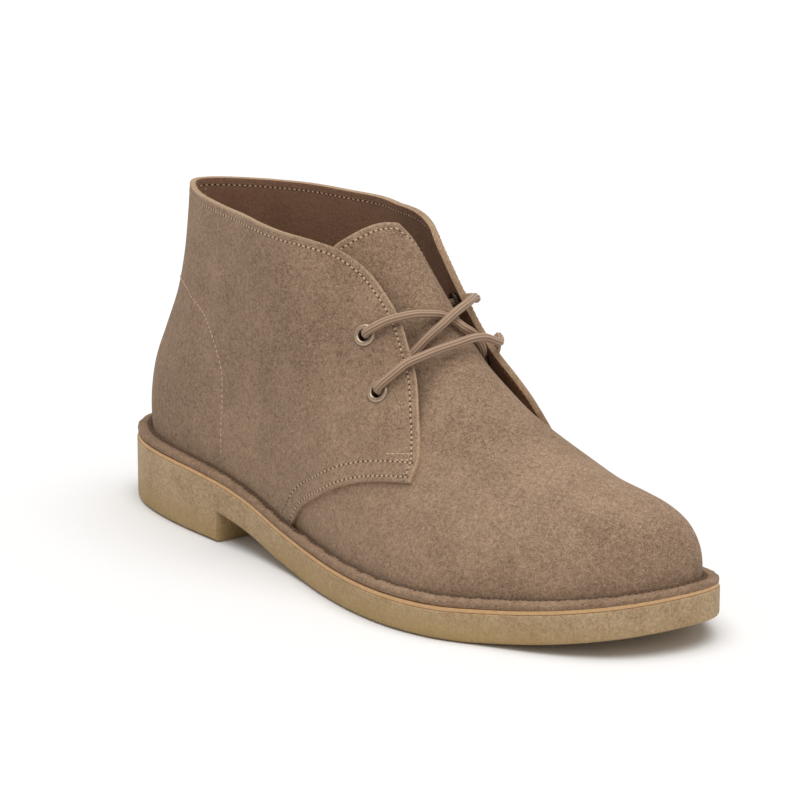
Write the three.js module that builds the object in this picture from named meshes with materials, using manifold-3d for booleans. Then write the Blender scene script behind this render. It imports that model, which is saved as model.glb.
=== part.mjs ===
// Chukka boot, right foot: two-eyelet suede upper on a thick crepe sole.
// Millimetres. The boot stands on z = 0 with its toe along +X and its medial side along +Y.
// Every height and length below is taken from SIZE, so the boot follows one set of values.
import Module from 'manifold-3d'
import * as THREE from 'three'
import { mergeVertices } from 'three/addons/utils/BufferGeometryUtils.js'

const wasm = await Module()
wasm.setup()

// Sizes of the whole boot
const SIZE = {
  length: 300,
  ballWidth: 108,
  height: 131,
  heelHeight: 23.8,
  forefootHeight: 11,
  toeSpring: 9,
}
// Clearance between pieces that touch
const GAP = 0.3
const MIDSOLE = 1.2
const INSOLE = 2.4
const WELT_HEIGHT = 3.0
const WELT_WIDTH = 5.5
const VAMP_WALL = 2.0
const QUARTER_WALL = 2.2
// How far the quarters' outer face stands over the vamp's where they lap it
const QUARTER_STEP = 1.5
// How far the facings stand off the last over the tongue and the lace
const FACING_STAND_OFF = 4.0
const STAND_OFF_REACH = 45
// Breadth of the facing's edge that isn't sewn down to the vamp
const LOOSE_EDGE = 4
// How far the ridge of the last leans to the medial side
const RIDGE_LEAN = 4.0
const TONGUE_WALL = 2.0
// How far the tongue's sides sink: at its top, between the facings and at the vamp
const TONGUE_SINK = { top: 1.5, lacing: 4.4, throat: 1.0 }
const LACE_WIDTH = 3.3
const EYELET = { outer: 4.2, barrel: 2.9, bore: 2.3, flange: 0.7, seat: 1.3 }
// The heel seat's centre, which is the part's origin, as a share of the length
const SEAT = 0.15
// The heel's front face, as a share of the length, and the length over which it rises
const HEEL_BREAST = 0.287
const BREAST_SLOPE = 0.5

// Sole outline: half widths as shares of the ball width
const OUTLINE = [
  { at: 0.00, lateral: 0.000, medial: 0.000 },
  { at: 0.03, lateral: 0.150, medial: 0.155 },
  { at: 0.09, lateral: 0.250, medial: 0.252 },
  { at: 0.17, lateral: 0.310, medial: 0.312 },
  { at: 0.27, lateral: 0.345, medial: 0.325 },
  { at: 0.37, lateral: 0.365, medial: 0.290 },
  { at: 0.47, lateral: 0.415, medial: 0.272 },
  { at: 0.56, lateral: 0.485, medial: 0.315 },
  { at: 0.63, lateral: 0.525, medial: 0.385 },
  { at: 0.70, lateral: 0.537, medial: 0.430 },
  { at: 0.76, lateral: 0.512, medial: 0.425 },
  { at: 0.83, lateral: 0.428, medial: 0.388 },
  { at: 0.90, lateral: 0.338, medial: 0.344 },
  { at: 0.96, lateral: 0.214, medial: 0.262 },
  { at: 1.00, lateral: -0.070, medial: 0.070 },
]
// Side view of the sole's top: 1 is the heel's height and 0 the forefoot's
const PROFILE = [
  { at: 0.00, rise: 1.000 },
  { at: 0.12, rise: 1.016 },
  { at: 0.24, rise: 0.970 },
  { at: 0.30, rise: 0.850 },
  { at: 0.36, rise: 0.580 },
  { at: 0.42, rise: 0.250 },
  { at: 0.48, rise: 0.060 },
  { at: 0.54, rise: 0.000 },
  { at: 1.00, rise: 0.000 },
]
const SPRING_START = 0.74
// Sections of the last: ridge height as a share of the boot's height, and the section's roundness
const SECTIONS = [
  { at: 0.000, ridge: 2.290, flank: 5.0, crown: 2.0, lean: 0 },
  { at: 0.250, ridge: 1.985, flank: 4.5, crown: 2.0, lean: 0 },
  { at: 0.380, ridge: 1.450, flank: 3.2, crown: 1.9, lean: 0.25 },
  { at: 0.440, ridge: 1.191, flank: 2.6, crown: 1.8, lean: 0.5 },
  { at: 0.480, ridge: 1.015, flank: 2.1, crown: 1.7, lean: 0.75 },
  { at: 0.530, ridge: 0.874, flank: 1.7, crown: 1.65, lean: 1 },
  { at: 0.580, ridge: 0.752, flank: 1.5, crown: 1.6, lean: 1 },
  { at: 0.630, ridge: 0.645, flank: 1.5, crown: 1.6, lean: 0.625 },
  { at: 0.675, ridge: 0.569, flank: 1.6, crown: 1.65, lean: 0.375 },
  { at: 0.720, ridge: 0.515, flank: 1.75, crown: 1.7, lean: 0.25 },
  { at: 0.780, ridge: 0.458, flank: 1.9, crown: 1.8, lean: 0.25 },
  { at: 0.840, ridge: 0.418, flank: 2.0, crown: 1.9, lean: 0.25 },
  { at: 0.890, ridge: 0.397, flank: 2.1, crown: 2.0, lean: 0.25 },
  { at: 0.930, ridge: 0.378, flank: 2.3, crown: 2.1, lean: 0.25 },
  { at: 0.965, ridge: 0.344, flank: 2.5, crown: 2.2, lean: 0.375 },
  { at: 0.988, ridge: 0.286, flank: 2.6, crown: 2.3, lean: 0.625 },
  { at: 1.000, ridge: 0.206, flank: 2.6, crown: 2.3, lean: 0.625 },
]
// Width of the last against its feather edge, at a third of the height and at the top
const SPREAD = [
  { at: 0.00, lateralMid: 0.97, medialMid: 0.97, lateralTop: 0.86, medialTop: 0.86 },
  { at: 0.12, lateralMid: 0.97, medialMid: 0.97, lateralTop: 0.86, medialTop: 0.86 },
  { at: 0.22, lateralMid: 0.99, medialMid: 1.01, lateralTop: 0.88, medialTop: 0.91 },
  { at: 0.33, lateralMid: 1.02, medialMid: 1.15, lateralTop: 0.97, medialTop: 1.12 },
  { at: 0.43, lateralMid: 1.02, medialMid: 1.20, lateralTop: 0.98, medialTop: 1.18 },
  { at: 0.55, lateralMid: 1.02, medialMid: 1.12, lateralTop: 1.00, medialTop: 1.10 },
  { at: 0.68, lateralMid: 1.02, medialMid: 1.04, lateralTop: 1.00, medialTop: 1.00 },
  { at: 0.85, lateralMid: 1.02, medialMid: 1.02, lateralTop: 1.00, medialTop: 1.00 },
  { at: 1.00, lateralMid: 1.00, medialMid: 1.00, lateralTop: 1.00, medialTop: 1.00 },
]
const MID_LEVEL = 0.35
// Shares between which the sections move over to the toe's own middle
const TOE_CENTRED = { from: 0.84, to: 0.96 }
// Back curve: how far the heel's back stands forward, as a share of the length, by level
const BACK = [
  { level: 0.00, forward: 0.0017 },
  { level: 0.14, forward: 0.0000 },
  { level: 0.28, forward: 0.0100 },
  { level: 0.42, forward: 0.0333 },
  { level: 0.56, forward: 0.0567 },
  { level: 0.72, forward: 0.0717 },
  { level: 0.86, forward: 0.0783 },
  { level: 1.30, forward: 0.0920 },
]
// Collar line: heights as shares of the boot's height
const COLLAR = [
  { at: 0.000, lateral: 0.985, medial: 0.985 },
  { at: 0.166, lateral: 0.976, medial: 0.990 },
  { at: 0.290, lateral: 0.969, medial: 0.983 },
  { at: 0.383, lateral: 0.953, medial: 0.981 },
  { at: 0.415, lateral: 0.947, medial: 0.980 },
  { at: 0.440, lateral: 0.936, medial: 0.976 },
  { at: 0.458, lateral: 0.921, medial: 0.964 },
  { at: 0.477, lateral: 0.892, medial: 0.938 },
]
// Facing edge, from the collar's front down to the facing's bottom corner
const FACING = [
  { at: 0.477, lateral: 0.892, medial: 0.938 },
  { at: 0.505, lateral: 0.841, medial: 0.893 },
  { at: 0.529, lateral: 0.789, medial: 0.838 },
  { at: 0.555, lateral: 0.726, medial: 0.766 },
  { at: 0.583, lateral: 0.652, medial: 0.686 },
  { at: 0.607, lateral: 0.593, medial: 0.620 },
  { at: 0.636, lateral: 0.509, medial: 0.550 },
  { at: 0.658, lateral: 0.448, medial: 0.496 },
  { at: 0.671, lateral: 0.404, medial: 0.452 },
  { at: 0.675, lateral: 0.362, medial: 0.410 },
]
// The quarter's lower front edge, from the welt up to the facing's bottom corner
const FRONT_EDGE = [
  { at: 0.437, lateral: 0.0, medial: 0.0 },
  { at: 0.469, lateral: 0.198, medial: 0.204 },
  { at: 0.514, lateral: 0.256, medial: 0.268 },
  { at: 0.559, lateral: 0.306, medial: 0.330 },
  { at: 0.605, lateral: 0.338, medial: 0.372 },
  { at: 0.640, lateral: 0.352, medial: 0.394 },
  { at: 0.675, lateral: 0.362, medial: 0.410 },
]
// Share of the stand-off along the facings' edges
const STAND_OFF = [
  { at: 0.38, lateral: 0, medial: 0 },
  { at: 0.44, lateral: 0.375, medial: 0.85 },
  { at: 0.48, lateral: 0.85, medial: 1.8 },
  { at: 0.505, lateral: 0.96, medial: 1.65 },
  { at: 0.53, lateral: 1, medial: 1.38 },
  { at: 0.555, lateral: 1, medial: 1.15 },
  { at: 0.583, lateral: 0.93, medial: 0.9 },
  { at: 0.607, lateral: 0.6, medial: 0.9 },
  { at: 0.636, lateral: 0.18, medial: 1 },
  { at: 0.658, lateral: 0, medial: 0.8 },
  { at: 0.675, lateral: 0, medial: 0.4 },
  { at: 0.7, lateral: 0, medial: 0 },
]
// Rear edge of the vamp, hidden under the quarters and open across the throat
const VAMP_REAR = [
  { around: 0.00, at: 0.400 },
  { around: 0.06, at: 0.430 },
  { around: 0.12, at: 0.470 },
  { around: 0.19, at: 0.515 },
  { around: 0.26, at: 0.555 },
  { around: 0.33, at: 0.588 },
  { around: 0.40, at: 0.612 },
  { around: 0.50, at: 0.630 },
  { around: 0.70, at: 0.642 },
  { around: 1.00, at: 0.645 },
]
// Upper edge of the tongue, from the lateral side over the ridge at 1 to the medial side
const TONGUE_TOP = [
  { around: 0.420, at: 0.4450 },
  { around: 0.550, at: 0.4500 },
  { around: 0.600, at: 0.4548 },
  { around: 0.650, at: 0.4615 },
  { around: 0.700, at: 0.4674 },
  { around: 0.756, at: 0.4730 },
  { around: 0.812, at: 0.4779 },
  { around: 0.872, at: 0.4827 },
  { around: 0.943, at: 0.4872 },
  { around: 1.020, at: 0.4880 },
  { around: 1.100, at: 0.4885 },
  { around: 1.180, at: 0.4910 },
  { around: 1.280, at: 0.4970 },
  { around: 1.400, at: 0.5110 },
  { around: 1.580, at: 0.5400 },
]
const TONGUE_SIDE = 0.44
// Eyelets: distance below the facing edge as a share of the boot's height
const EYELETS = [
  { name: 'eyelet_lateral_upper', at: 0.529, below: 0.097, side: 'lateral' },
  { name: 'eyelet_lateral_lower', at: 0.574, below: 0.122, side: 'lateral' },
  { name: 'eyelet_medial_upper', at: 0.529, below: 0.097, side: 'medial' },
  { name: 'eyelet_medial_lower', at: 0.574, below: 0.122, side: 'medial' },
]

// Smooth curve through the rows of a table
function curve(xs, ys, x) {
  const last = xs.length - 1
  let i = 0
  while (i < last - 1 && x >= xs[i + 1]) i += 1
  const slope = (k) => (ys[k + 1] - ys[k]) / (xs[k + 1] - xs[k])
  const tangent = (k) => {
    if (k === 0) return slope(0)
    if (k === last) return slope(last - 1)
    const before = xs[k] - xs[k - 1]
    const after = xs[k + 1] - xs[k]
    return (slope(k - 1) * after + slope(k) * before) / (before + after)
  }
  const width = xs[i + 1] - xs[i]
  const u = (x - xs[i]) / width
  const u2 = u * u
  const u3 = u2 * u
  const ends = (2 * u3 - 3 * u2 + 1) * ys[i] + (3 * u2 - 2 * u3) * ys[i + 1]
  const bends = (u3 - 2 * u2 + u) * tangent(i) + (u3 - u2) * tangent(i + 1)
  return ends + bends * width
}

function column(rows, key, name, x) {
  return curve(rows.map((row) => row[key]), rows.map((row) => row[name]), x)
}

function smooth(from, to, x) {
  const u = Math.min(1, Math.max(0, (x - from) / (to - from)))
  return u * u * (3 - 2 * u)
}

function mix(a, b, u) {
  return a + (b - a) * u
}

// A station runs from 0 at the heel to 1 at the toe and is dense at both ends
function station(share) {
  return Math.acos(1 - 2 * share) / Math.PI
}

function shareAt(stationValue) {
  return (1 - Math.cos(Math.PI * stationValue)) / 2
}

// The outline as a closed loop: -1 at the toe, 0 at the heel, 1 at the toe, lateral positive
const LOOP = outlineLoop()

function outlineLoop() {
  const rows = OUTLINE.map((row) => ({
    s: station(row.at),
    lateral: -row.lateral * SIZE.ballWidth,
    medial: row.medial * SIZE.ballWidth,
  }))
  const n = rows.length
  const knots = []
  for (const k of [n - 3, n - 2]) knots.push([rows[k].s - 2, rows[k].lateral])
  for (let k = n - 1; k > 0; k -= 1) knots.push([-rows[k].s, rows[k].medial])
  for (const row of rows) knots.push([row.s, row.lateral])
  for (const k of [n - 2, n - 3]) knots.push([2 - rows[k].s, rows[k].medial])
  return { xs: knots.map((k) => k[0]), ys: knots.map((k) => k[1]) }
}

function loopY(a) {
  return curve(LOOP.xs, LOOP.ys, a)
}

// Point of the outline, moved in by an inset; loop is the signed station
function outline(loop, inset) {
  const step = 1e-4
  const dx = SIZE.length / 2 * Math.PI * Math.sin(Math.PI * loop)
  const dy = (loopY(loop + step) - loopY(loop - step)) / (2 * step)
  const across = Math.abs(dx) / Math.hypot(dx, dy)
  const side = loop >= 0 ? -1 : 1
  const x = inset + (SIZE.length - 2 * inset) * shareAt(loop)
  return [x, loopY(loop) - side * inset * across]
}

function soleTop(x) {
  const share = Math.min(1, Math.max(0, x / SIZE.length))
  const drop = SIZE.heelHeight - SIZE.forefootHeight
  const spring = Math.max(0, (share - SPRING_START) / (1 - SPRING_START)) ** 2
  return SIZE.forefootHeight + drop * column(PROFILE, 'at', 'rise', share) + SIZE.toeSpring * spring
}

function soleBottom(x) {
  const breast = HEEL_BREAST * SIZE.length
  const arch = Math.max(0, soleTop(x) - SIZE.forefootHeight)
  return arch * smooth(breast, breast + BREAST_SLOPE, x)
}

// Height of the upper's bottom edge, which stands on the midsole
function feather(x) {
  return soleTop(x) + GAP + MIDSOLE + GAP
}

// One section of the last: station a from heel to toe, t from the lateral feather edge
// over the ridge (1) to the medial feather edge (2)
function fold(a, t) {
  if (a < 0 || (a === 0 && t > 1)) return [-a, 2 - t]
  if (a > 1 || (a === 1 && t > 1)) return [2 - a, 2 - t]
  return [a, t]
}

function sectionAt(a, medial) {
  const [x, y] = outline(medial ? -a : a, WELT_WIDTH)
  const [, other] = outline(medial ? a : -a, WELT_WIDTH)
  const share = (x - WELT_WIDTH) / (SIZE.length - 2 * WELT_WIDTH)
  const s = station(Math.min(1, Math.max(0, share)))
  const stations = SECTIONS.map((row) => station(row.at))
  const read = (name) => curve(stations, SECTIONS.map((row) => row[name]), s)
  return {
    x, y, share,
    middle: (y + other) / 2 * smooth(TOE_CENTRED.from, TOE_CENTRED.to, share),
    floor: feather(x),
    ridge: read('ridge') * SIZE.height,
    flank: read('flank'),
    crown: read('crown'),
    lean: read('lean') * RIDGE_LEAN,
  }
}

function spread(medial, share, level) {
  const mid = column(SPREAD, 'at', medial ? 'medialMid' : 'lateralMid', share)
  const top = column(SPREAD, 'at', medial ? 'medialTop' : 'lateralTop', share)
  const atFeather = (level - MID_LEVEL) * (level - 1) / MID_LEVEL
  const atMid = level * (level - 1) / (MID_LEVEL * (MID_LEVEL - 1))
  const atTop = level * (level - MID_LEVEL) / (1 - MID_LEVEL)
  return atFeather + atMid * mid + atTop * top
}

function last(a0, t0) {
  const [a, t] = fold(a0, t0)
  const medial = t > 1
  const turn = medial ? 2 - t : t
  const s = sectionAt(a, medial)
  const z = s.floor + (s.ridge - s.floor) * Math.sin(Math.PI / 2 * turn)
  const level = Math.min(1.3, Math.max(0, (z - s.floor) / (SIZE.height - SIZE.heelHeight - 2.2)))
  const rise = Math.min(1, Math.max(0, (z - s.floor) / (s.ridge - s.floor)))
  const closing = (1 - rise ** s.flank) ** (1 / s.crown)
  const forward = column(BACK, 'level', 'forward', level) * SIZE.length * (1 - smooth(0.05, 0.5, s.share))
  const lean = s.lean * rise ** 1.5 * smooth(0.3, 0.6, s.share)
  const halfWidth = (s.y - s.middle) * spread(medial, s.share, level) * closing
  return new THREE.Vector3(s.x + forward, lean + s.middle + halfWidth, z)
}

function normal(a, t) {
  const step = 4e-3
  const pole = 1 - a < step && Math.abs(1 - t) < step
  if (pole) return normal(1 - 5 * step, 1).add(normal(1, 1 - 5 * step)).normalize()
  const along = last(a + step, t).sub(last(a - step, t))
  const around = last(a, t + step).sub(last(a, t - step))
  const n = along.cross(around)
  const edge = Math.min(t, 2 - t)
  n.z *= smooth(0, 0.06, edge)
  return n.normalize()
}

// Point at a distance from the last's surface
function off(a, t, distance) {
  const [fa, ft] = fold(a, t)
  return last(fa, ft).addScaledVector(normal(fa, ft), distance)
}

// The quarters lie on the last behind the vamp and climb over its edge
function quarterSkin(a) {
  return QUARTER_STEP * mix(0.4, 1, smooth(0.24, 0.38, shareAt(a)))
}

// The turn around a section at which it reaches a height
function turnAt(a, medial, z) {
  const s = sectionAt(a, medial)
  const rise = Math.min(1, Math.max(0, (z - s.floor) / (s.ridge - s.floor)))
  const turn = Math.asin(rise) * 2 / Math.PI
  return medial ? 2 - turn : turn
}

// Stand-off of the quarters from the last near the facing edges
function standOff(a, t) {
  const medial = t > 1
  const share = shareAt(a)
  if (share < STAND_OFF[0].at) return 0
  const side = medial ? 'medial' : 'lateral'
  const rows = share < FACING[0].at ? COLLAR : FACING
  const bound = Math.min(share, FACING[FACING.length - 1].at)
  const edge = column(rows, 'at', side, bound) * SIZE.height
  const below = edge - last(a, t).z
  const lastRow = STAND_OFF[STAND_OFF.length - 1]
  const lift = FACING_STAND_OFF * Math.max(0, column(STAND_OFF, 'at', side, Math.min(share, lastRow.at)))
  // The quarters lie flat where the vamp runs under them, but for the facing's free edge
  const vampAt = column(VAMP_REAR, 'around', 'at', Math.min(t, 2 - t))
  const flat = smooth(vampAt - 0.03, vampAt + 0.02, share) * smooth(LOOSE_EDGE, 3 * LOOSE_EDGE, below)
  return lift * (1 - smooth(2, STAND_OFF_REACH, below)) * (1 - flat)
}

// Meshes from grids of points
function toManifold(points, triangles) {
  const vertices = new Float32Array(points.flatMap((p) => [p.x, p.y, p.z]))
  const mesh = new wasm.Mesh({ numProp: 3, vertProperties: vertices, triVerts: new Uint32Array(triangles) })
  mesh.merge()
  return new wasm.Manifold(mesh)
}

function toGeometry(solid) {
  const mesh = solid.getMesh()
  const geometry = new THREE.BufferGeometry()
  geometry.setAttribute('position', new THREE.BufferAttribute(mesh.vertProperties, 3))
  geometry.setIndex(new THREE.BufferAttribute(mesh.triVerts, 1))
  return geometry
}

// A thick sheet: point(i, j, outer) for i and j in the grid, closed by a rim on each open side
function sheet(rows, columns, point, closedEnd) {
  const points = []
  const triangles = []
  const seen = new Map()
  const id = []
  for (const outer of [1, 0]) {
    for (let i = 0; i <= rows; i += 1) {
      for (let j = 0; j <= columns; j += 1) {
        const p = point(i, j, outer === 1)
        const key = `${outer} ${p.x.toFixed(5)} ${p.y.toFixed(5)} ${p.z.toFixed(5)}`
        if (!seen.has(key)) {
          seen.set(key, points.length)
          points.push(p)
        }
        id.push(seen.get(key))
      }
    }
  }
  const at = (i, j, outer) => id[(outer ? 0 : (rows + 1) * (columns + 1)) + i * (columns + 1) + j]
  const quad = (a, b, c, d) => {
    if (a !== b && b !== c && a !== c) triangles.push(a, b, c)
    if (a !== c && c !== d && a !== d) triangles.push(a, c, d)
  }
  for (let i = 0; i < rows; i += 1) {
    for (let j = 0; j < columns; j += 1) {
      quad(at(i, j, 1), at(i + 1, j, 1), at(i + 1, j + 1, 1), at(i, j + 1, 1))
      quad(at(i, j, 0), at(i, j + 1, 0), at(i + 1, j + 1, 0), at(i + 1, j, 0))
    }
  }
  for (let i = 0; i < rows; i += 1) {
    quad(at(i, 0, 0), at(i + 1, 0, 0), at(i + 1, 0, 1), at(i, 0, 1))
    quad(at(i, columns, 1), at(i + 1, columns, 1), at(i + 1, columns, 0), at(i, columns, 0))
  }
  for (let j = 0; j < columns; j += 1) {
    quad(at(0, j, 1), at(0, j + 1, 1), at(0, j + 1, 0), at(0, j, 0))
    if (!closedEnd) quad(at(rows, j, 0), at(rows, j + 1, 0), at(rows, j + 1, 1), at(rows, j, 1))
  }
  return toManifold(points, triangles)
}

// A stack of closed loops, bottom loop first, capped across from side to side
const LOOP_STEPS = 48
const LOOP_AT = loopStations()

// Even stations around the outline, with one pair set on the heel's breast
function loopStations() {
  const breast = station(HEEL_BREAST)
  const foot = station(HEEL_BREAST + BREAST_SLOPE / SIZE.length)
  const near = Math.round(breast * LOOP_STEPS)
  const half = []
  for (let k = 0; k <= LOOP_STEPS; k += 1) half.push(k / LOOP_STEPS)
  half[near] = breast
  half[near + 1] = foot
  const medial = half.slice(1).reverse().map((a) => -a)
  return [...medial, ...half.slice(0, -1)]
}

function loops(levels) {
  const count = 2 * LOOP_STEPS
  const points = []
  const triangles = []
  for (const level of levels) {
    for (const loop of LOOP_AT) points.push(level(loop))
  }
  const at = (level, k) => level * count + (k + count) % count
  for (let n = 0; n < levels.length - 1; n += 1) {
    for (let k = 0; k < count; k += 1) {
      triangles.push(at(n, k), at(n, k + 1), at(n + 1, k + 1), at(n, k), at(n + 1, k + 1), at(n + 1, k))
    }
  }
  const top = levels.length - 1
  for (let k = 0; k < LOOP_STEPS; k += 1) {
    const across = (n, m) => at(n, count - m)
    for (const [n, flip] of [[0, true], [top, false]]) {
      const a = at(n, k)
      const b = at(n, k + 1)
      const c = across(n, k + 1)
      const d = across(n, k)
      const add = (p, q, r) => {
        if (p === q || q === r || p === r) return
        if (flip) triangles.push(p, r, q)
        else triangles.push(p, q, r)
      }
      add(a, b, c)
      add(a, c, d)
    }
  }
  return toManifold(points, triangles)
}

// A ring whose closed section runs through the levels in order
function ring(levels) {
  const count = 2 * LOOP_STEPS
  const points = []
  const triangles = []
  for (const level of levels) {
    for (const loop of LOOP_AT) points.push(level(loop))
  }
  const at = (n, k) => (n % levels.length) * count + k % count
  for (let n = 0; n < levels.length; n += 1) {
    for (let k = 0; k < count; k += 1) {
      triangles.push(at(n, k), at(n, k + 1), at(n + 1, k + 1), at(n, k), at(n + 1, k + 1), at(n + 1, k))
    }
  }
  return toManifold(points, triangles)
}

function soleLevel(inset, height) {
  return (loop) => {
    const [x, y] = outline(loop, inset)
    const nominal = SIZE.length * shareAt(loop)
    return new THREE.Vector3(x, y, height(nominal))
  }
}

// Crepe slab and heel, moulded in one
function makeOutsole() {
  const edge = 1.0
  return loops([
    soleLevel(edge, soleBottom),
    soleLevel(0.2, (x) => soleBottom(x) + edge),
    soleLevel(0, (x) => mix(soleBottom(x), soleTop(x), 0.6)),
    soleLevel(0.3, soleTop),
  ])
}

function makeMidsole() {
  return loops([
    soleLevel(0.4, (x) => soleTop(x) + GAP),
    soleLevel(0.4, (x) => soleTop(x) + GAP + MIDSOLE),
  ])
}

function makeInsole() {
  const inset = WELT_WIDTH + VAMP_WALL + 4 * GAP
  return loops([
    soleLevel(inset, feather),
    soleLevel(inset, (x) => feather(x) + INSOLE),
  ])
}

// Outer face of the upper at a height above the feather edge, cleared by a gap
function weltInner(rise) {
  return (loop) => {
    const medial = loop < 0
    const a = Math.abs(loop)
    const s = sectionAt(a, medial)
    const t = turnAt(a, medial, s.floor + rise)
    const quarterEnd = FRONT_EDGE[0].at
    const wall = quarterSkin(station(s.share)) * (1 - smooth(quarterEnd + 0.024, quarterEnd + 0.042, s.share))
    const n = normal(...fold(a, t))
    n.z = 0
    n.normalize()
    const p = last(a, t).addScaledVector(n, wall + 2 * GAP)
    p.z = s.floor + rise
    return p
  }
}

// Suede-wrapped welt around the upper
function makeWelt() {
  const outer = (inset, rise) => soleLevel(inset, (x) => feather(x) + rise)
  return ring([
    outer(0.7, 0),
    outer(0.3, 0.35 * WELT_HEIGHT),
    outer(0.6, 0.7 * WELT_HEIGHT),
    outer(1.6, WELT_HEIGHT),
    weltInner(0.9 * WELT_HEIGHT),
    weltInner(0),
  ])
}

// The quarters' pattern, laid out from the heel (u = 0) to the facing (u = 1)
const QUARTER_COLUMNS = 22
const QUARTER_ROWS = 12
const BACK_COLUMNS = 14

// Points of a pattern line on one side, as length along the boot and height
function patternLine(rows, side) {
  return rows.map((row) => [row.at * SIZE.length, row[side] * SIZE.height])
}

// Point of a pattern line at a share of its own length
function alongLine(points, u) {
  const run = [0]
  for (let k = 1; k < points.length; k += 1) {
    const [p, q] = [points[k - 1], points[k]]
    run.push(run[k - 1] + Math.hypot(q[0] - p[0], q[1] - p[1]))
  }
  const d = u * run[run.length - 1]
  const x = curve(run, points.map((p) => p[0]), d)
  const z = curve(run, points.map((p) => p[1]), d)
  return [station(x / SIZE.length), z]
}

// The bottom edge follows the feather edge and then the lower front edge
function quarterBottom(u, side) {
  const corner = station(FRONT_EDGE[0].at)
  const medial = side === 'medial'
  const split = BACK_COLUMNS / QUARTER_COLUMNS
  if (u <= split) {
    const a = corner * u / split
    return [a, sectionAt(a, medial).floor]
  }
  const line = patternLine(FRONT_EDGE, side)
  line[0][1] = sectionAt(corner, medial).floor
  return alongLine(line, (u - split) / (1 - split))
}

function quarterTop(u, side) {
  const a = station(COLLAR[COLLAR.length - 1].at) * u
  return [a, column(COLLAR, 'at', side, shareAt(a)) * SIZE.height]
}

function quarterFront(v, side) {
  return alongLine(patternLine(FACING, side).reverse(), v)
}

// Boundary curves blended over the patch
function quarterPattern(u, v, side) {
  const bottom = quarterBottom(u, side)
  const top = quarterTop(u, side)
  const front = quarterFront(v, side)
  const heelLow = quarterBottom(0, side)
  const heelHigh = quarterTop(0, side)
  const frontLow = quarterBottom(1, side)
  const frontHigh = quarterTop(1, side)
  return [0, 1].map((k) => {
    const heel = mix(heelLow[k], heelHigh[k], v)
    const ruled = mix(bottom[k], top[k], v) + mix(heel, front[k], u)
    const corners = mix(mix(heelLow[k], heelHigh[k], v), mix(frontLow[k], frontHigh[k], v), u)
    return ruled - corners
  })
}

function makeQuarters() {
  const point = (i, j, outer) => {
    const medial = i < QUARTER_COLUMNS
    const side = medial ? 'medial' : 'lateral'
    const u = Math.abs(i - QUARTER_COLUMNS) / QUARTER_COLUMNS
    const [a, z] = quarterPattern(u, j / QUARTER_ROWS, side)
    const t = j === 0 && u * QUARTER_COLUMNS <= BACK_COLUMNS ? (medial ? 2 : 0) : turnAt(a, medial, z)
    const depth = outer ? 0 : QUARTER_WALL
    return off(a, t, quarterSkin(a) + standOff(a, t) - depth)
  }
  return sheet(2 * QUARTER_COLUMNS, QUARTER_ROWS, point, false)
}

const VAMP_COLUMNS = 26
const VAMP_ROWS = 12

function vampRear(t) {
  return station(column(VAMP_REAR, 'around', 'at', Math.min(t, 2 - t)))
}

function makeVamp() {
  const point = (i, j, outer) => {
    const t = j / VAMP_ROWS
    const a = i === VAMP_COLUMNS ? 1 : mix(vampRear(t), 1, i / VAMP_COLUMNS)
    return off(a, t, outer ? 0 : -VAMP_WALL)
  }
  return sheet(VAMP_COLUMNS, 2 * VAMP_ROWS, point, true)
}

// The upper's wall, closed into one body by the vamp's overlap under the quarters.
// A pocket of air sealed between the two layers is filled.
function makeUpper() {
  const layers = wasm.Manifold.union(makeVamp(), makeQuarters())
  let [upper] = layers.decompose().filter((body) => body.volume() > 0)
  for (const eyelet of EYELETS) upper = upper.subtract(eyeletHole(eyelet))
  return upper
}

function tongueSink(share, t) {
  const upper = mix(TONGUE_SINK.top, TONGUE_SINK.lacing, smooth(0.50, 0.545, share))
  const depth = mix(upper, TONGUE_SINK.throat, smooth(0.6, 0.635, share))
  return depth * (1 - smooth(0.55, 0.85, Math.min(t, 2 - t)))
}

function makeTongue() {
  const across = 16
  const along = 14
  const point = (i, j, outer) => {
    const t = mix(TONGUE_SIDE, 2 - TONGUE_SIDE, j / across)
    const front = vampRear(t) - station(0.5 + GAP / SIZE.length * 1.2) + station(0.5)
    const back = station(column(TONGUE_TOP, 'around', 'at', t))
    const a = mix(back, front, i / along)
    const sink = tongueSink(shareAt(a), t)
    return off(a, t, outer ? -sink : -sink - TONGUE_WALL)
  }
  return sheet(along, across, point, false)
}

// Eyelets
const EYELET_SIDES = 14

function eyeletPlace(eyelet) {
  const medial = eyelet.side === 'medial'
  const a = station(eyelet.at)
  const edge = column(FACING, 'at', eyelet.side, eyelet.at)
  const z = (edge - eyelet.below) * SIZE.height
  const t = turnAt(a, medial, z)
  const step = 6e-3
  const skin = (da, dt) => off(a + da, t + dt, standOff(a + da, t + dt))
  const centre = skin(0, 0)
  const along = skin(step, 0).sub(skin(-step, 0))
  const around = skin(0, step).sub(skin(0, -step))
  return { a, t, centre, axis: along.cross(around).normalize(), lift: standOff(a, t) }
}

function eyeletMatrix(eyelet) {
  const { centre, axis } = eyeletPlace(eyelet)
  const turn = new THREE.Quaternion().setFromUnitVectors(new THREE.Vector3(0, 0, 1), axis)
  return new THREE.Matrix4().compose(centre, turn, new THREE.Vector3(1, 1, 1))
}

// Joins a closed geometry's doubled corners and makes it a solid
function solidOf(geometry) {
  geometry.deleteAttribute('normal')
  geometry.deleteAttribute('uv')
  const merged = mergeVertices(geometry, 1e-4)
  const position = merged.getAttribute('position')
  const points = []
  for (let k = 0; k < position.count; k += 1) points.push(new THREE.Vector3().fromBufferAttribute(position, k))
  return toManifold(points, solidTriangles(merged.getIndex().array))
}

// Leaves out the flat triangles that merging makes at a pole
function solidTriangles(index) {
  const triangles = []
  for (let k = 0; k < index.length; k += 3) {
    const [a, b, c] = index.slice(k, k + 3)
    if (a !== b && b !== c && a !== c) triangles.push(a, b, c)
  }
  return triangles
}

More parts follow.
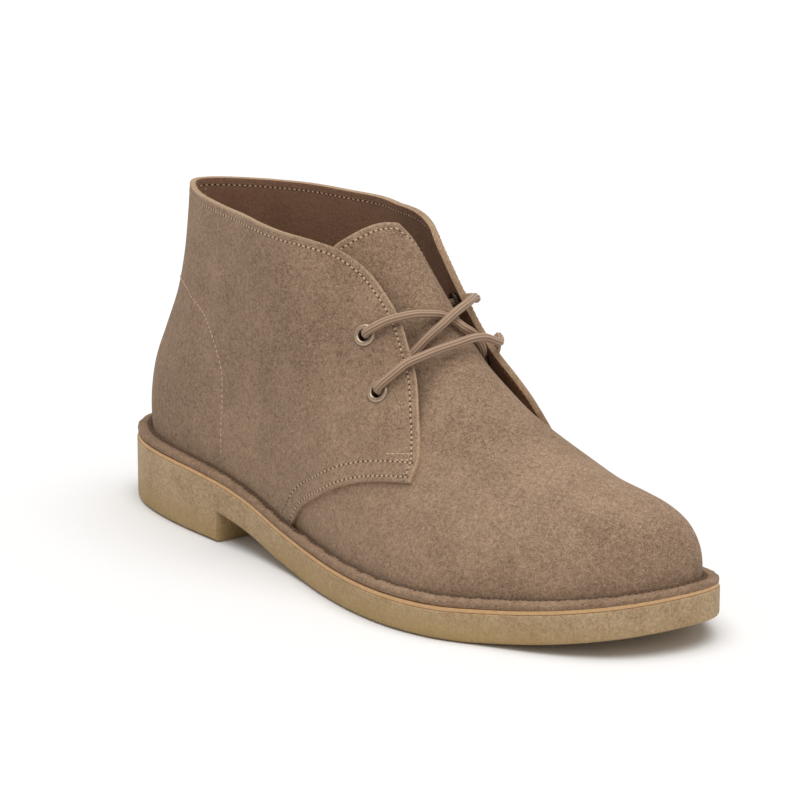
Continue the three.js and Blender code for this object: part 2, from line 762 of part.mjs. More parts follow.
function eyeletHole(eyelet) {
  const radius = EYELET.barrel + GAP
  const drill = new THREE.CylinderGeometry(radius, radius, 3 * QUARTER_WALL, EYELET_SIDES)
  drill.rotateX(Math.PI / 2)
  drill.applyMatrix4(eyeletMatrix(eyelet))
  return solidOf(drill)
}

// Turned section of an eyelet, radius against height over the leather's middle
function makeEyelet(eyelet) {
  const inner = QUARTER_STEP - QUARTER_WALL - EYELET.seat
  const outer = QUARTER_STEP + GAP
  const section = [
    [EYELET.bore, inner - EYELET.flange],
    [EYELET.outer - 0.4, inner - EYELET.flange],
    [EYELET.outer - 0.4, inner],
    [EYELET.barrel, inner],
    [EYELET.barrel, outer],
    [EYELET.outer, outer],
    [EYELET.outer - 0.2, outer + EYELET.flange * 0.7],
    [EYELET.outer - 0.9, outer + EYELET.flange],
    [EYELET.bore + 0.3, outer + EYELET.flange],
    [EYELET.bore, outer + EYELET.flange * 0.6],
  ]
  const profile = [...section, section[0]].map(([radius, height]) => new THREE.Vector2(radius, height))
  const turned = new THREE.LatheGeometry(profile, EYELET_SIDES)
  turned.rotateX(Math.PI / 2)
  turned.applyMatrix4(eyeletMatrix(eyelet))
  return solidOf(turned)
}

// The lace: one cord through the four eyelets. Each point is a place on the boot and a height,
// over or under the quarters, over the tongue, or in an eyelet's bore.
const LACE_OVER = QUARTER_STEP + GAP + LACE_WIDTH / 2 + 0.5
const LACE_UNDER = QUARTER_STEP - QUARTER_WALL - 2 * GAP - LACE_WIDTH / 2
const LACE_TONGUE = GAP + LACE_WIDTH / 2 + 0.2
const FLANGE_TOP = QUARTER_STEP + GAP + EYELET.flange

function overPoint(share, t, height) {
  const a = station(share)
  return off(a, t, standOff(a, t) + height)
}

function tonguePoint(share, t, height) {
  return off(station(share), t, height)
}

function borePoint(name, height) {
  const { centre, axis } = eyeletPlace(EYELETS.find((eyelet) => eyelet.name === name))
  return centre.clone().addScaledVector(axis, height)
}

// Places along the lace's way through an eyelet, from inside the boot outwards
function throughEyelet(name) {
  return [LACE_UNDER - 2, -1, 0.8, FLANGE_TOP + 1.8].map((height) => borePoint(name, height))
}

function edgeTurn(share, side) {
  const medial = side === 'medial'
  return turnAt(station(share), medial, column(FACING, 'at', side, share) * SIZE.height)
}

function edgePoint(share, side, height, inward) {
  const t = edgeTurn(share, side)
  return overPoint(share, side === 'medial' ? t - inward : t + inward, height)
}

// First strand: out of the upper lateral eyelet, over the tongue, under the medial facing
function firstStrand() {
  return [
    ...throughEyelet('eyelet_lateral_upper'),
    overPoint(0.537, 0.592, LACE_OVER + 0.6),
    overPoint(0.545, 0.640, LACE_OVER),
    overPoint(0.554, 0.690, LACE_OVER - 0.4),
    tonguePoint(0.563, 0.753, LACE_TONGUE + 3.4),
    tonguePoint(0.573, 0.832, LACE_TONGUE + 1.0),
    tonguePoint(0.580, 0.895, LACE_TONGUE),
    tonguePoint(0.592, 0.975, LACE_TONGUE),
    tonguePoint(0.600, 1.020, LACE_TONGUE + 0.6),
    tonguePoint(0.603, 1.120, LACE_TONGUE + 0.3),
    edgePoint(0.598, 'medial', LACE_UNDER - 0.2, -0.02),
    borePoint('eyelet_medial_lower', LACE_UNDER - 2),
  ]
}

// Second strand: out of the lower medial eyelet and straight across to the lower lateral one
function secondStrand() {
  return [
    ...throughEyelet('eyelet_medial_lower'),
    edgePoint(0.592, 'medial', LACE_OVER + 0.8, -0.04),
    edgePoint(0.603, 'medial', LACE_OVER, 0.01),
    tonguePoint(0.612, 1.200, LACE_TONGUE + 4.2),
    tonguePoint(0.614, 1.120, LACE_TONGUE + 3.6),
    tonguePoint(0.616, 0.990, LACE_TONGUE + 2.8),
    tonguePoint(0.613, 0.876, LACE_TONGUE + 1.8),
    tonguePoint(0.606, 0.769, LACE_TONGUE + 2.3),
    tonguePoint(0.598, 0.675, LACE_TONGUE + 4.0),
    overPoint(0.591, 0.614, LACE_OVER),
    overPoint(0.586, 0.561, LACE_OVER + 0.5),
    ...throughEyelet('eyelet_lateral_lower').reverse(),
  ]
}

// Third strand: from under the lateral facing over the first strand to the upper medial eyelet
function thirdStrand() {
  return [
    borePoint('eyelet_lateral_lower', LACE_UNDER - 2),
    edgePoint(0.579, 'lateral', LACE_UNDER, -0.04),
    tonguePoint(0.583, 0.673, LACE_TONGUE - 1.3),
    tonguePoint(0.587, 0.763, LACE_TONGUE + 0.4),
    tonguePoint(0.589, 0.850, LACE_TONGUE + LACE_WIDTH - 1.0),
    tonguePoint(0.586, 0.966, LACE_TONGUE + LACE_WIDTH),
    tonguePoint(0.578, 1.100, LACE_TONGUE + 4.6),
    edgePoint(0.562, 'medial', LACE_OVER - 0.1, 0.01),
    edgePoint(0.552, 'medial', LACE_OVER + 0.4, -0.08),
    ...throughEyelet('eyelet_medial_upper').reverse(),
  ]
}

function cord(points, steps) {
  const path = new THREE.CatmullRomCurve3(points, false, 'centripetal')
  const shape = new THREE.Shape()
  const sides = 8
  for (let k = 0; k < sides; k += 1) {
    const angle = 2 * Math.PI * k / sides
    const x = LACE_WIDTH / 2 * Math.cos(angle)
    const y = LACE_WIDTH / 2 * Math.sin(angle)
    if (k === 0) shape.moveTo(x, y)
    else shape.lineTo(x, y)
  }
  const swept = new THREE.ExtrudeGeometry(shape, { steps, bevelEnabled: false, extrudePath: path, curveSegments: 1 })
  const position = swept.getAttribute('position')
  const seen = new Map()
  const corners = []
  const triangles = []
  for (let k = 0; k < position.count; k += 1) {
    const p = new THREE.Vector3().fromBufferAttribute(position, k)
    const key = `${p.x.toFixed(3)} ${p.y.toFixed(3)} ${p.z.toFixed(3)}`
    if (!seen.has(key)) {
      seen.set(key, corners.length)
      corners.push(p)
    }
    triangles.push(seen.get(key))
  }
  return toManifold(corners, triangles)
}

function makeLace() {
  const strands = [cord(firstStrand(), 22), cord(secondStrand(), 28), cord(thirdStrand(), 22)]
  return wasm.Manifold.union(strands)
}

// Materials
const suede = new THREE.MeshStandardMaterial({ name: 'suede', color: 0x92785f, roughness: 0.95 })
const lining = new THREE.MeshStandardMaterial({ name: 'insole_leather', color: 0x8a684a, roughness: 0.7 })
const crepe = new THREE.MeshStandardMaterial({ name: 'crepe_rubber', color: 0xb19a70, roughness: 0.9 })
const tan = new THREE.MeshStandardMaterial({ name: 'tan_leather', color: 0xc99a6c, roughness: 0.6 })
const brass = new THREE.MeshStandardMaterial({ name: 'aged_brass', color: 0x7d6a4c, roughness: 0.4, metalness: 1 })
const cotton = new THREE.MeshStandardMaterial({ name: 'cotton_cord', color: 0x8c765f, roughness: 0.9 })

const group = new THREE.Group()
group.name = 'chukka_boot'

function addPart(name, solid, material) {
  const status = solid.status()
  if (status !== 'NoError') throw new Error(`${name}: ${status}`)
  const geometry = toGeometry(solid)
  geometry.translate(-SEAT * SIZE.length, 0, 0)
  const mesh = new THREE.Mesh(geometry, material)
  mesh.name = name
  group.add(mesh)
}

addPart('outsole', makeOutsole(), crepe)
addPart('midsole', makeMidsole(), tan)
addPart('insole', makeInsole(), lining)
addPart('welt', makeWelt(), suede)
addPart('upper', makeUpper(), suede)
addPart('tongue', makeTongue(), suede)
for (const eyelet of EYELETS) addPart(eyelet.name, makeEyelet(eyelet), brass)
addPart('lace', makeLace(), cotton)

export default group
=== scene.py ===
# %% [markdown]
# A chukka boot for the right foot: suede upper, two eyelets a side, thick crepe sole.
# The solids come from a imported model, which is loaded first and never moved. Every piece
# below is laid on the same last, the foot-shaped form that a boot is pulled over, so the
# pieces fit each other and the model without any fitting by eye.

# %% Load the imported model
import math

import bpy
import numpy as np
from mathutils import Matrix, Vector
from mathutils.bvhtree import BVHTree
from mathutils.kdtree import KDTree


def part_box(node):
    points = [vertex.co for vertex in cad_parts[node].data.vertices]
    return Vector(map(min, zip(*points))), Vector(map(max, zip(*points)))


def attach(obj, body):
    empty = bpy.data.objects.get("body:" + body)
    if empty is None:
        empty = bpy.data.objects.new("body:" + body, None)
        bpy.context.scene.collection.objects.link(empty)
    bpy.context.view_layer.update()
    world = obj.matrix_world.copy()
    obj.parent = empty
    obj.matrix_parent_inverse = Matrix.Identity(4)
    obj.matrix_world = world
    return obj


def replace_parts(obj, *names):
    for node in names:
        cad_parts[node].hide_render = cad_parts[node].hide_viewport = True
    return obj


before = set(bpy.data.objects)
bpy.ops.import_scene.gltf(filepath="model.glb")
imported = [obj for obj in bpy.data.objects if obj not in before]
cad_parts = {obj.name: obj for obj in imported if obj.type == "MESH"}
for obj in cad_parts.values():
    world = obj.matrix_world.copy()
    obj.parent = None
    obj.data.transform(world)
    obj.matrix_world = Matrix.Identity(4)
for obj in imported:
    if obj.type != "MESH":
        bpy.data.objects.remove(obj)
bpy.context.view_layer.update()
print("loaded", len(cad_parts), "nodes")

# %% [markdown]
# Sizes are in millimetres, as a pattern cutter writes them. Length, width and height are
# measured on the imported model, so a changed model changes the scene. The others are the
# thicknesses and clearances of the pieces.

# %% Sizes
MM = 0.001
sole_low, sole_high = (np.array(corner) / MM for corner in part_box("outsole"))
upper_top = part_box("upper")[1].z / MM
# Shares of the named ball width and height that the model's boxes reach
WIDTH_SHARE = 0.9692
TOP_SHARE = 0.9905
LENGTH = sole_high[0] - sole_low[0]
BALL_WIDTH = (sole_high[1] - sole_low[1]) / WIDTH_SHARE
HEIGHT = upper_top / TOP_SHARE
HEEL_X = sole_low[0]
HEEL_HEIGHT = 23.8
FOREFOOT_HEIGHT = 11.0
TOE_SPRING = 9.0
GAP = 0.3
MIDSOLE = 1.2
INSOLE = 2.4
WELT_HEIGHT = 3.0
WELT_WIDTH = 5.5
VAMP_WALL = 2.0
QUARTER_WALL = 2.2
QUARTER_STEP = 1.5
QUARTER_REAR_STEP = 0.4
TONGUE_SINK = dict(top=1.5, lacing=4.4)
LACE_WIDTH = 3.3
EYELET = dict(outer=4.2, barrel=2.9, bore=2.3, flange=0.7, seat=1.3)
HEEL_BREAST = 0.287
BREAST_SLOPE = 0.5
SPRING_START = 0.74
# Distances of the stitch rows from their edges
ROWS = dict(collar=3.0, front=1.8, inner_front=7.4, tongue=2.6, welt=1.5, back=2.0)
STITCH_PITCH = 2.2
print(f"length {LENGTH:.1f}, ball width {BALL_WIDTH:.1f}, height {HEIGHT:.1f} mm")

# %% [markdown]
# A last has no simple formula: its sections swell, narrow and lean from heel to toe. A
# shoemaker keeps them as a few templates and fairs the wood between them. The tables are
# those templates, with a row for each section, and `curve` is the fairing. Lengths are
# shares of the named sizes, so the boot can be made in another size.

# %% Tables of the last
def table(names, rows):
    return dict(zip(names.split(), np.array(rows, float).T))


OUTLINE = table("at lateral medial", [
    (0.00, 0.000, 0.000),
    (0.03, 0.150, 0.155),
    (0.09, 0.250, 0.252),
    (0.17, 0.310, 0.312),
    (0.27, 0.345, 0.325),
    (0.37, 0.365, 0.290),
    (0.47, 0.415, 0.272),
    (0.56, 0.485, 0.315),
    (0.63, 0.525, 0.385),
    (0.70, 0.537, 0.430),
    (0.76, 0.512, 0.425),
    (0.83, 0.428, 0.388),
    (0.90, 0.338, 0.344),
    (0.96, 0.214, 0.262),
    (1.00, -0.070, 0.070),
])
PROFILE = table("at rise", [
    (0.00, 1.000),
    (0.12, 1.016),
    (0.24, 0.970),
    (0.30, 0.850),
    (0.36, 0.580),
    (0.42, 0.250),
    (0.48, 0.060),
    (0.54, 0.000),
    (1.00, 0.000),
])
SECTIONS = table("at ridge flank crown lean", [
    (0.000, 2.290, 5.0, 2.0, 0),
    (0.250, 1.985, 4.5, 2.0, 0),
    (0.380, 1.450, 3.2, 1.9, 1),
    (0.440, 1.191, 2.6, 1.8, 2),
    (0.480, 1.015, 2.1, 1.7, 3),
    (0.530, 0.874, 1.7, 1.65, 4),
    (0.580, 0.752, 1.5, 1.6, 4),
    (0.630, 0.645, 1.5, 1.6, 2.5),
    (0.675, 0.569, 1.6, 1.65, 1.5),
    (0.720, 0.515, 1.75, 1.7, 1),
    (0.780, 0.458, 1.9, 1.8, 1),
    (0.840, 0.418, 2.0, 1.9, 1),
    (0.890, 0.397, 2.1, 2.0, 1),
    (0.930, 0.378, 2.3, 2.1, 1),
    (0.965, 0.344, 2.5, 2.2, 1.5),
    (0.988, 0.286, 2.6, 2.3, 2.5),
    (1.000, 0.206, 2.6, 2.3, 2.5),
])
SPREAD = table("at lateral_mid medial_mid lateral_top medial_top", [
    (0.00, 0.97, 0.97, 0.86, 0.86),
    (0.12, 0.97, 0.97, 0.86, 0.86),
    (0.22, 0.99, 1.01, 0.88, 0.91),
    (0.33, 1.02, 1.15, 0.97, 1.12),
    (0.43, 1.02, 1.20, 0.98, 1.18),
    (0.55, 1.02, 1.12, 1.00, 1.10),
    (0.68, 1.02, 1.04, 1.00, 1.00),
    (0.85, 1.02, 1.02, 1.00, 1.00),
    (1.00, 1.00, 1.00, 1.00, 1.00),
])
BACK = table("level forward", [
    (0.00, 0.0017),
    (0.14, 0.0000),
    (0.28, 0.0100),
    (0.42, 0.0333),
    (0.56, 0.0567),
    (0.72, 0.0717),
    (0.86, 0.0783),
    (1.30, 0.0920),
])
MID_LEVEL = 0.35
# Height of the feather edge over the heel's top, and the highest level of the back's table
FEATHER_EDGE = 2.2
TOP_LEVEL = 1.3
# Shares between which the sections move over to the toe's own middle
TOE_CENTRED = (0.84, 0.96)
print(len(SECTIONS["at"]), "sections from heel to toe")

# %% [markdown]
# The upper's pattern pieces are drawn on the last as lines: the collar, the facing edges
# beside the tongue, and the curved lower front edge where the quarters lap the vamp.

# %% Tables of the pattern
COLLAR = table("at lateral medial", [
    (0.000, 0.985, 0.985),
    (0.166, 0.976, 0.990),
    (0.290, 0.969, 0.983),
    (0.383, 0.953, 0.981),
    (0.415, 0.947, 0.980),
    (0.440, 0.936, 0.976),
    (0.458, 0.921, 0.964),
    (0.477, 0.892, 0.938),
])
FACING = table("at lateral medial", [
    (0.477, 0.892, 0.938),
    (0.505, 0.841, 0.893),
    (0.529, 0.789, 0.838),
    (0.555, 0.726, 0.766),
    (0.583, 0.652, 0.686),
    (0.607, 0.593, 0.620),
    (0.636, 0.509, 0.550),
    (0.658, 0.448, 0.496),
    (0.671, 0.404, 0.452),
    (0.675, 0.362, 0.410),
])
FRONT_EDGE = table("at lateral medial", [
    (0.437, 0.000, 0.000),
    (0.469, 0.198, 0.204),
    (0.514, 0.256, 0.268),
    (0.559, 0.306, 0.330),
    (0.605, 0.338, 0.372),
    (0.640, 0.352, 0.394),
    (0.675, 0.362, 0.410),
])
FACING_STAND_OFF = 4.0
STAND_OFF = table("at lateral medial", [
    (0.380, 0.0, 0.0),
    (0.440, 0.375, 0.85),
    (0.480, 0.85, 1.8),
    (0.505, 0.96, 1.65),
    (0.530, 1.0, 1.38),
    (0.555, 1.0, 1.15),
    (0.583, 0.93, 0.9),
    (0.607, 0.6, 0.9),
    (0.636, 0.18, 1.0),
    (0.658, 0.0, 0.8),
    (0.675, 0.0, 0.4),
    (0.700, 0.0, 0.0),
])
STAND_OFF_REACH = 45
LOOSE_EDGE = 4
VAMP_REAR = table("around at", [
    (0.00, 0.400),
    (0.06, 0.430),
    (0.12, 0.470),
    (0.19, 0.515),
    (0.26, 0.555),
    (0.33, 0.588),
    (0.40, 0.612),
    (0.50, 0.630),
    (0.70, 0.642),
    (1.00, 0.645),
])
TONGUE_TOP = table("around at", [
    (0.420, 0.4450),
    (0.550, 0.4500),
    (0.600, 0.4548),
    (0.650, 0.4615),
    (0.700, 0.4674),
    (0.756, 0.4730),
    (0.812, 0.4779),
    (0.872, 0.4827),
    (0.943, 0.4876),
    (0.985, 0.4895),
    (1.030, 0.4930),
    (1.100, 0.4970),
    (1.180, 0.5000),
    (1.280, 0.5050),
    (1.400, 0.5150),
    (1.580, 0.5400),
])
EYELETS = [
    dict(name=f"eyelet_{side}_{level}", at=at, below=below, side=side)
    for side in ("lateral", "medial")
    for level, at, below in (("upper", 0.529, 0.097), ("lower", 0.574, 0.122))
]
print([eyelet["name"] for eyelet in EYELETS])

# %% [markdown]
# Now the form itself. `last(a, t)` gives a point of the last for a station a, from 0 at
# the heel to 1 at the toe, and a turn t, from 0 at the lateral feather edge over the ridge
# at 1 to the medial feather edge at 2. Everything works on whole arrays of points at once.

# %% Curves
def curve(xs, ys, x):
    """Smooth curve through the rows of a table."""
    steps = np.diff(xs)
    slopes = np.diff(ys) / steps
    inner = (slopes[:-1] * steps[1:] + slopes[1:] * steps[:-1]) / (steps[:-1] + steps[1:])
    tangents = np.concatenate([slopes[:1], inner, slopes[-1:]])
    i = np.clip(np.searchsorted(xs, x, side="right") - 1, 0, len(xs) - 2)
    u = (x - xs[i]) / steps[i]
    ends = (2 * u**3 - 3 * u**2 + 1) * ys[i] + (3 * u**2 - 2 * u**3) * ys[i + 1]
    bends = (u**3 - 2 * u**2 + u) * tangents[i] + (u**3 - u**2) * tangents[i + 1]
    return ends + bends * steps[i]


def column(rows, key, name, x):
    return curve(rows[key], rows[name], np.asarray(x, float))


def smooth(low, high, x):
    u = np.clip((np.asarray(x, float) - low) / (high - low), 0, 1)
    return u * u * (3 - 2 * u)


def mix(a, b, u):
    return a + (b - a) * u


def station(share):
    """Station of a share of the length. Stations crowd together at heel and toe."""
    return np.arccos(np.clip(1 - 2 * np.asarray(share, float), -1, 1)) / np.pi


def share_at(a):
    return (1 - np.cos(np.pi * a)) / 2


def side_column(rows, medial, at, lateral_name="lateral", medial_name="medial"):
    return np.where(medial, column(rows, "at", medial_name, at), column(rows, "at", lateral_name, at))


print("half the length is at station", station(0.5).round(3))


# %% Outline and side view of the sole
def outline_loop():
    s = station(OUTLINE["at"])
    lateral = -OUTLINE["lateral"] * BALL_WIDTH
    medial = OUTLINE["medial"] * BALL_WIDTH
    xs = np.concatenate([s[-3:-1] - 2, -s[:0:-1], s, 2 - s[-2:-4:-1]])
    ys = np.concatenate([lateral[-3:-1], medial[:0:-1], lateral, medial[-2:-4:-1]])
    return xs, ys


LOOP = outline_loop()


def outline(loop, inset):
    """Point of the sole's outline, moved in. The loop runs -1 toe, 0 heel, 1 toe, lateral positive."""
    step = 1e-4
    loop = np.asarray(loop, float)
    dx = LENGTH / 2 * np.pi * np.sin(np.pi * loop)
    dy = (curve(*LOOP, loop + step) - curve(*LOOP, loop - step)) / (2 * step)
    across = np.abs(dx) / np.hypot(dx, dy)
    side = np.where(loop >= 0, -1, 1)
    x = inset + (LENGTH - 2 * inset) * share_at(loop)
    return x, curve(*LOOP, loop) - side * inset * across


def sole_top(x):
    share = np.clip(np.asarray(x, float) / LENGTH, 0, 1)
    spring = np.clip((share - SPRING_START) / (1 - SPRING_START), 0, None) ** 2
    drop = HEEL_HEIGHT - FOREFOOT_HEIGHT
    return FOREFOOT_HEIGHT + drop * column(PROFILE, "at", "rise", share) + TOE_SPRING * spring


def sole_bottom(x):
    breast = HEEL_BREAST * LENGTH
    arch = np.clip(sole_top(x) - FOREFOOT_HEIGHT, 0, None)
    return arch * smooth(breast, breast + BREAST_SLOPE, x)


def feather(x):
    """Height of the feather edge, where upper and sole meet."""
    return sole_top(x) + GAP + MIDSOLE + GAP


print("feather edge at heel and ball", feather(np.array([0, 0.7]) * LENGTH).round(1))


# %% Surface of the last
def fold(a, t):
    """Takes a place past the heel or the toe round to the other side."""
    a, t = np.broadcast_arrays(np.asarray(a, float), np.asarray(t, float))
    back = (a < 0) | ((a == 0) & (t > 1))
    a, t = np.where(back, -a, a), np.where(back, 2 - t, t)
    front = (a > 1) | ((a == 1) & (t > 1))
    return np.where(front, 2 - a, a), np.where(front, 2 - t, t)


def section_at(a, medial):
    """Edge, middle, feather edge, ridge and roundness of the section at a station."""
    x, y = outline(np.where(medial, -a, a), WELT_WIDTH)
    _, other = outline(np.where(medial, a, -a), WELT_WIDTH)
    share = np.clip((x - WELT_WIDTH) / (LENGTH - 2 * WELT_WIDTH), 0, 1)
    middle = (y + other) / 2 * smooth(*TOE_CENTRED, share)
    s, stations = station(share), station(SECTIONS["at"])
    found = {name: curve(stations, SECTIONS[name], s) for name in ("ridge", "flank", "crown", "lean")}
    found["ridge"] *= HEIGHT
    return dict(found, x=x, y=y, middle=middle, share=share, floor=feather(x))


def spread(medial, share, level):
    """Width as a share of the feather edge's, on a parabola through three levels."""
    mid = side_column(SPREAD, medial, share, "lateral_mid", "medial_mid")
    top = side_column(SPREAD, medial, share, "lateral_top", "medial_top")
    at_feather = (level - MID_LEVEL) * (level - 1) / MID_LEVEL
    at_mid = level * (level - 1) / (MID_LEVEL * (MID_LEVEL - 1))
    return at_feather + at_mid * mid + level * (level - MID_LEVEL) / (1 - MID_LEVEL) * top


def last(a, t):
    a, t = fold(a, t)
    medial = t > 1
    s = section_at(a, medial)
    z = s["floor"] + (s["ridge"] - s["floor"]) * np.sin(np.pi / 2 * np.where(medial, 2 - t, t))
    level = np.clip((z - s["floor"]) / (HEIGHT - HEEL_HEIGHT - FEATHER_EDGE), 0, TOP_LEVEL)
    rise = np.clip((z - s["floor"]) / (s["ridge"] - s["floor"]), 0, 1)
    closing = (1 - rise ** s["flank"]) ** (1 / s["crown"])
    forward = column(BACK, "level", "forward", level) * LENGTH * (1 - smooth(0.05, 0.5, s["share"]))
    lean = s["lean"] * rise**1.5 * smooth(0.3, 0.6, s["share"])
    y = lean + s["middle"] + (s["y"] - s["middle"]) * spread(medial, s["share"], level) * closing
    return np.stack([s["x"] + forward, y, z], -1)


def unit(v):
    return v / np.maximum(np.linalg.norm(v, axis=-1, keepdims=True), 1e-9)


def normal(a, t):
    step = 4e-3
    a, t = np.broadcast_arrays(np.asarray(a, float), np.asarray(t, float))
    a, t = a.copy(), t.copy()
    pole = (1 - a < step) & (np.abs(1 - t) < step)
    a[pole], t[pole] = 1 - 4 * step, 1 - 4 * step
    n = np.cross(last(a + step, t) - last(a - step, t), last(a, t + step) - last(a, t - step))
    n[..., 2] *= smooth(0, 0.06, np.minimum(t, 2 - t))
    n[pole, 1] = 0
    return unit(n)


def off(a, t, distance):
    """Point at a distance from the last's surface."""
    a, t = fold(a, t)
    return last(a, t) + normal(a, t) * np.asarray(distance, float)[..., None]


def turn_at(a, medial, z):
    """Turn at which the last's side reaches a height."""
    s = section_at(np.asarray(a, float), medial)
    rise = np.clip((z - s["floor"]) / (s["ridge"] - s["floor"]), 0, 1)
    turn = np.arcsin(rise) * 2 / np.pi
    return np.where(medial, 2 - turn, turn)


def stand_off(a, t):
    """How far the quarters stand off the last where the lace runs under them."""
    a, t = fold(a, t)
    medial = t > 1
    share = share_at(a)
    bound = np.minimum(share, FACING["at"][-1])
    collar, facing = side_column(COLLAR, medial, bound), side_column(FACING, medial, bound)
    edge = np.where(share < FACING["at"][0], collar, facing)
    below = edge * HEIGHT - last(a, t)[..., 2]
    lift = np.clip(side_column(STAND_OFF, medial, np.minimum(share, STAND_OFF["at"][-1])), 0, None)
    lift = np.where(share < STAND_OFF["at"][0], 0, lift) * FACING_STAND_OFF
    vamp_at = column(VAMP_REAR, "around", "at", np.minimum(t, 2 - t))
    flat = smooth(vamp_at - 0.03, vamp_at + 0.02, share) * smooth(LOOSE_EDGE, 3 * LOOSE_EDGE, below)
    return lift * (1 - smooth(2, STAND_OFF_REACH, below)) * (1 - flat)


def quarter_step(share):
    """The quarters lie on the last behind the vamp and climb over its edge."""
    return mix(QUARTER_REAR_STEP, 1.0, smooth(0.24, 0.38, share)) * QUARTER_STEP


print("ridge at half length", last(station(0.5), 1.0).round(1))

# %% [markdown]
# The camera stands where the photographer's did: about 47 degrees round from the side and
# 14 degrees up, 1.36 m away.
# From that place it turns to the middle of the boot, behind a lens long enough to fill the
# picture with it: turning and zooming change the crop and not the perspective.

# %% Camera
STAND = dict(azimuth=47.03, elevation=13.94, distance=1.35565, right=0.03916, up=0.02139)
STAND_CENTRE = Vector((0.105, 0, 0.05))
BOOT_MIDDLE = Vector((0.105, 0.0, 0.062))
FOCAL = 163.4


def direction(azimuth, elevation):
    az, el = math.radians(azimuth), math.radians(elevation)
    return Vector((math.sin(az) * math.cos(el), -math.cos(az) * math.cos(el), math.sin(el)))


def camera_place():
    back = direction(STAND["azimuth"], STAND["elevation"])
    right = direction(STAND["azimuth"] + 90, 0)
    up = back.cross(right)
    return STAND_CENTRE + back * STAND["distance"] + right * STAND["right"] + up * STAND["up"]


def make_camera():
    data = bpy.data.cameras.new("camera")
    data.sensor_width = 36
    data.lens = FOCAL
    data.clip_start, data.clip_end = 0.05, 100
    camera = bpy.data.objects.new("camera", data)
    bpy.context.scene.collection.objects.link(camera)
    camera.location = camera_place()
    camera.rotation_euler = (camera.location - BOOT_MIDDLE).to_track_quat("Z", "Y").to_euler()
    bpy.context.scene.camera = camera
    return camera


camera = make_camera()
print("camera at", [round(v, 3) for v in camera.location])

# %% [markdown]
# A studio sweep is a white floor under wide, soft light. A large sun disc stands for the
# overhead softbox, and the pale world for the light that the room throws back. The camera
# sees the world as white, so the floor meets it without a line.

# %% Floor and light
# The floor throws less light back than it shows, as a sweep does beyond its lit patch
FLOOR_SHOWN = 0.93
FLOOR_BOUNCE = 0.72


def make_floor():
    bpy.ops.object.select_all(action="DESELECT")
    bpy.ops.mesh.primitive_plane_add(size=30, location=(0, 0, -0.0003))
    floor = bpy.context.object
    floor.name = "floor"
    paint = bpy.data.materials.new("white_floor")
    paint.use_nodes = True
    nodes, links = paint.node_tree.nodes, paint.node_tree.links
    shader = nodes["Principled BSDF"]
    path, tone = nodes.new("ShaderNodeLightPath"), nodes.new("ShaderNodeMapRange")
    tone.inputs["To Min"].default_value = FLOOR_BOUNCE
    tone.inputs["To Max"].default_value = FLOOR_SHOWN
    links.new(path.outputs["Is Camera Ray"], tone.inputs["Value"])
    links.new(tone.outputs["Result"], shader.inputs["Base Color"])
    shader.inputs["Roughness"].default_value = 0.9
    shader.inputs["Specular IOR Level"].default_value = 0.0
    floor.data.materials.append(paint)


def make_sun(name, strength, angle, azimuth, elevation):
    data = bpy.data.lights.new(name, "SUN")
    data.energy = strength
    data.angle = math.radians(angle)
    sun = bpy.data.objects.new(name, data)
    bpy.context.scene.collection.objects.link(sun)
    sun.rotation_euler = direction(azimuth, elevation).to_track_quat("Z", "Y").to_euler()


def make_world(strength):
    world = bpy.data.worlds.new("studio")
    world.use_nodes = True
    nodes, links = world.node_tree.nodes, world.node_tree.links
    nodes.clear()
    output = nodes.new("ShaderNodeOutputWorld")
    seen, light = nodes.new("ShaderNodeBackground"), nodes.new("ShaderNodeBackground")
    seen.inputs["Strength"].default_value = 1.0
    seen.inputs["Color"].default_value = (1, 1, 1, 1)
    light.inputs["Strength"].default_value = strength
    light.inputs["Color"].default_value = (1.0, 0.99, 0.975, 1)
    path, pick = nodes.new("ShaderNodeLightPath"), nodes.new("ShaderNodeMixShader")
    links.new(path.outputs["Is Camera Ray"], pick.inputs["Fac"])
    links.new(light.outputs[0], pick.inputs[1])
    links.new(seen.outputs[0], pick.inputs[2])
    links.new(pick.outputs[0], output.inputs["Surface"])
    bpy.context.scene.world = world


make_floor()
make_world(0.47)
make_sun("softbox", 2.1, 60, 70, 80)
bpy.context.scene.view_settings.view_transform = "Standard"
print("studio ready")

# %% [markdown]
# Materials share two effects, built once as node groups. "Nap" is the mottled lie of a
# brushed surface: fine worm-like fibres over soft clouds, where a hand has turned the pile.
# "Stitch holes" dents the leather and paints shade where a needle went through. It reads two
# measures kept on the mesh, the distance from an edge and the way along it.

# %% Node helpers
def new_group(name, inputs, outputs):
    group = bpy.data.node_groups.new(name, "ShaderNodeTree")
    for socket, value in inputs:
        made = group.interface.new_socket(socket, in_out="INPUT", socket_type="NodeSocketFloat")
        made.default_value = value
    for socket in outputs:
        group.interface.new_socket(socket, in_out="OUTPUT", socket_type="NodeSocketFloat")
    return group, group.nodes.new("NodeGroupInput"), group.nodes.new("NodeGroupOutput")


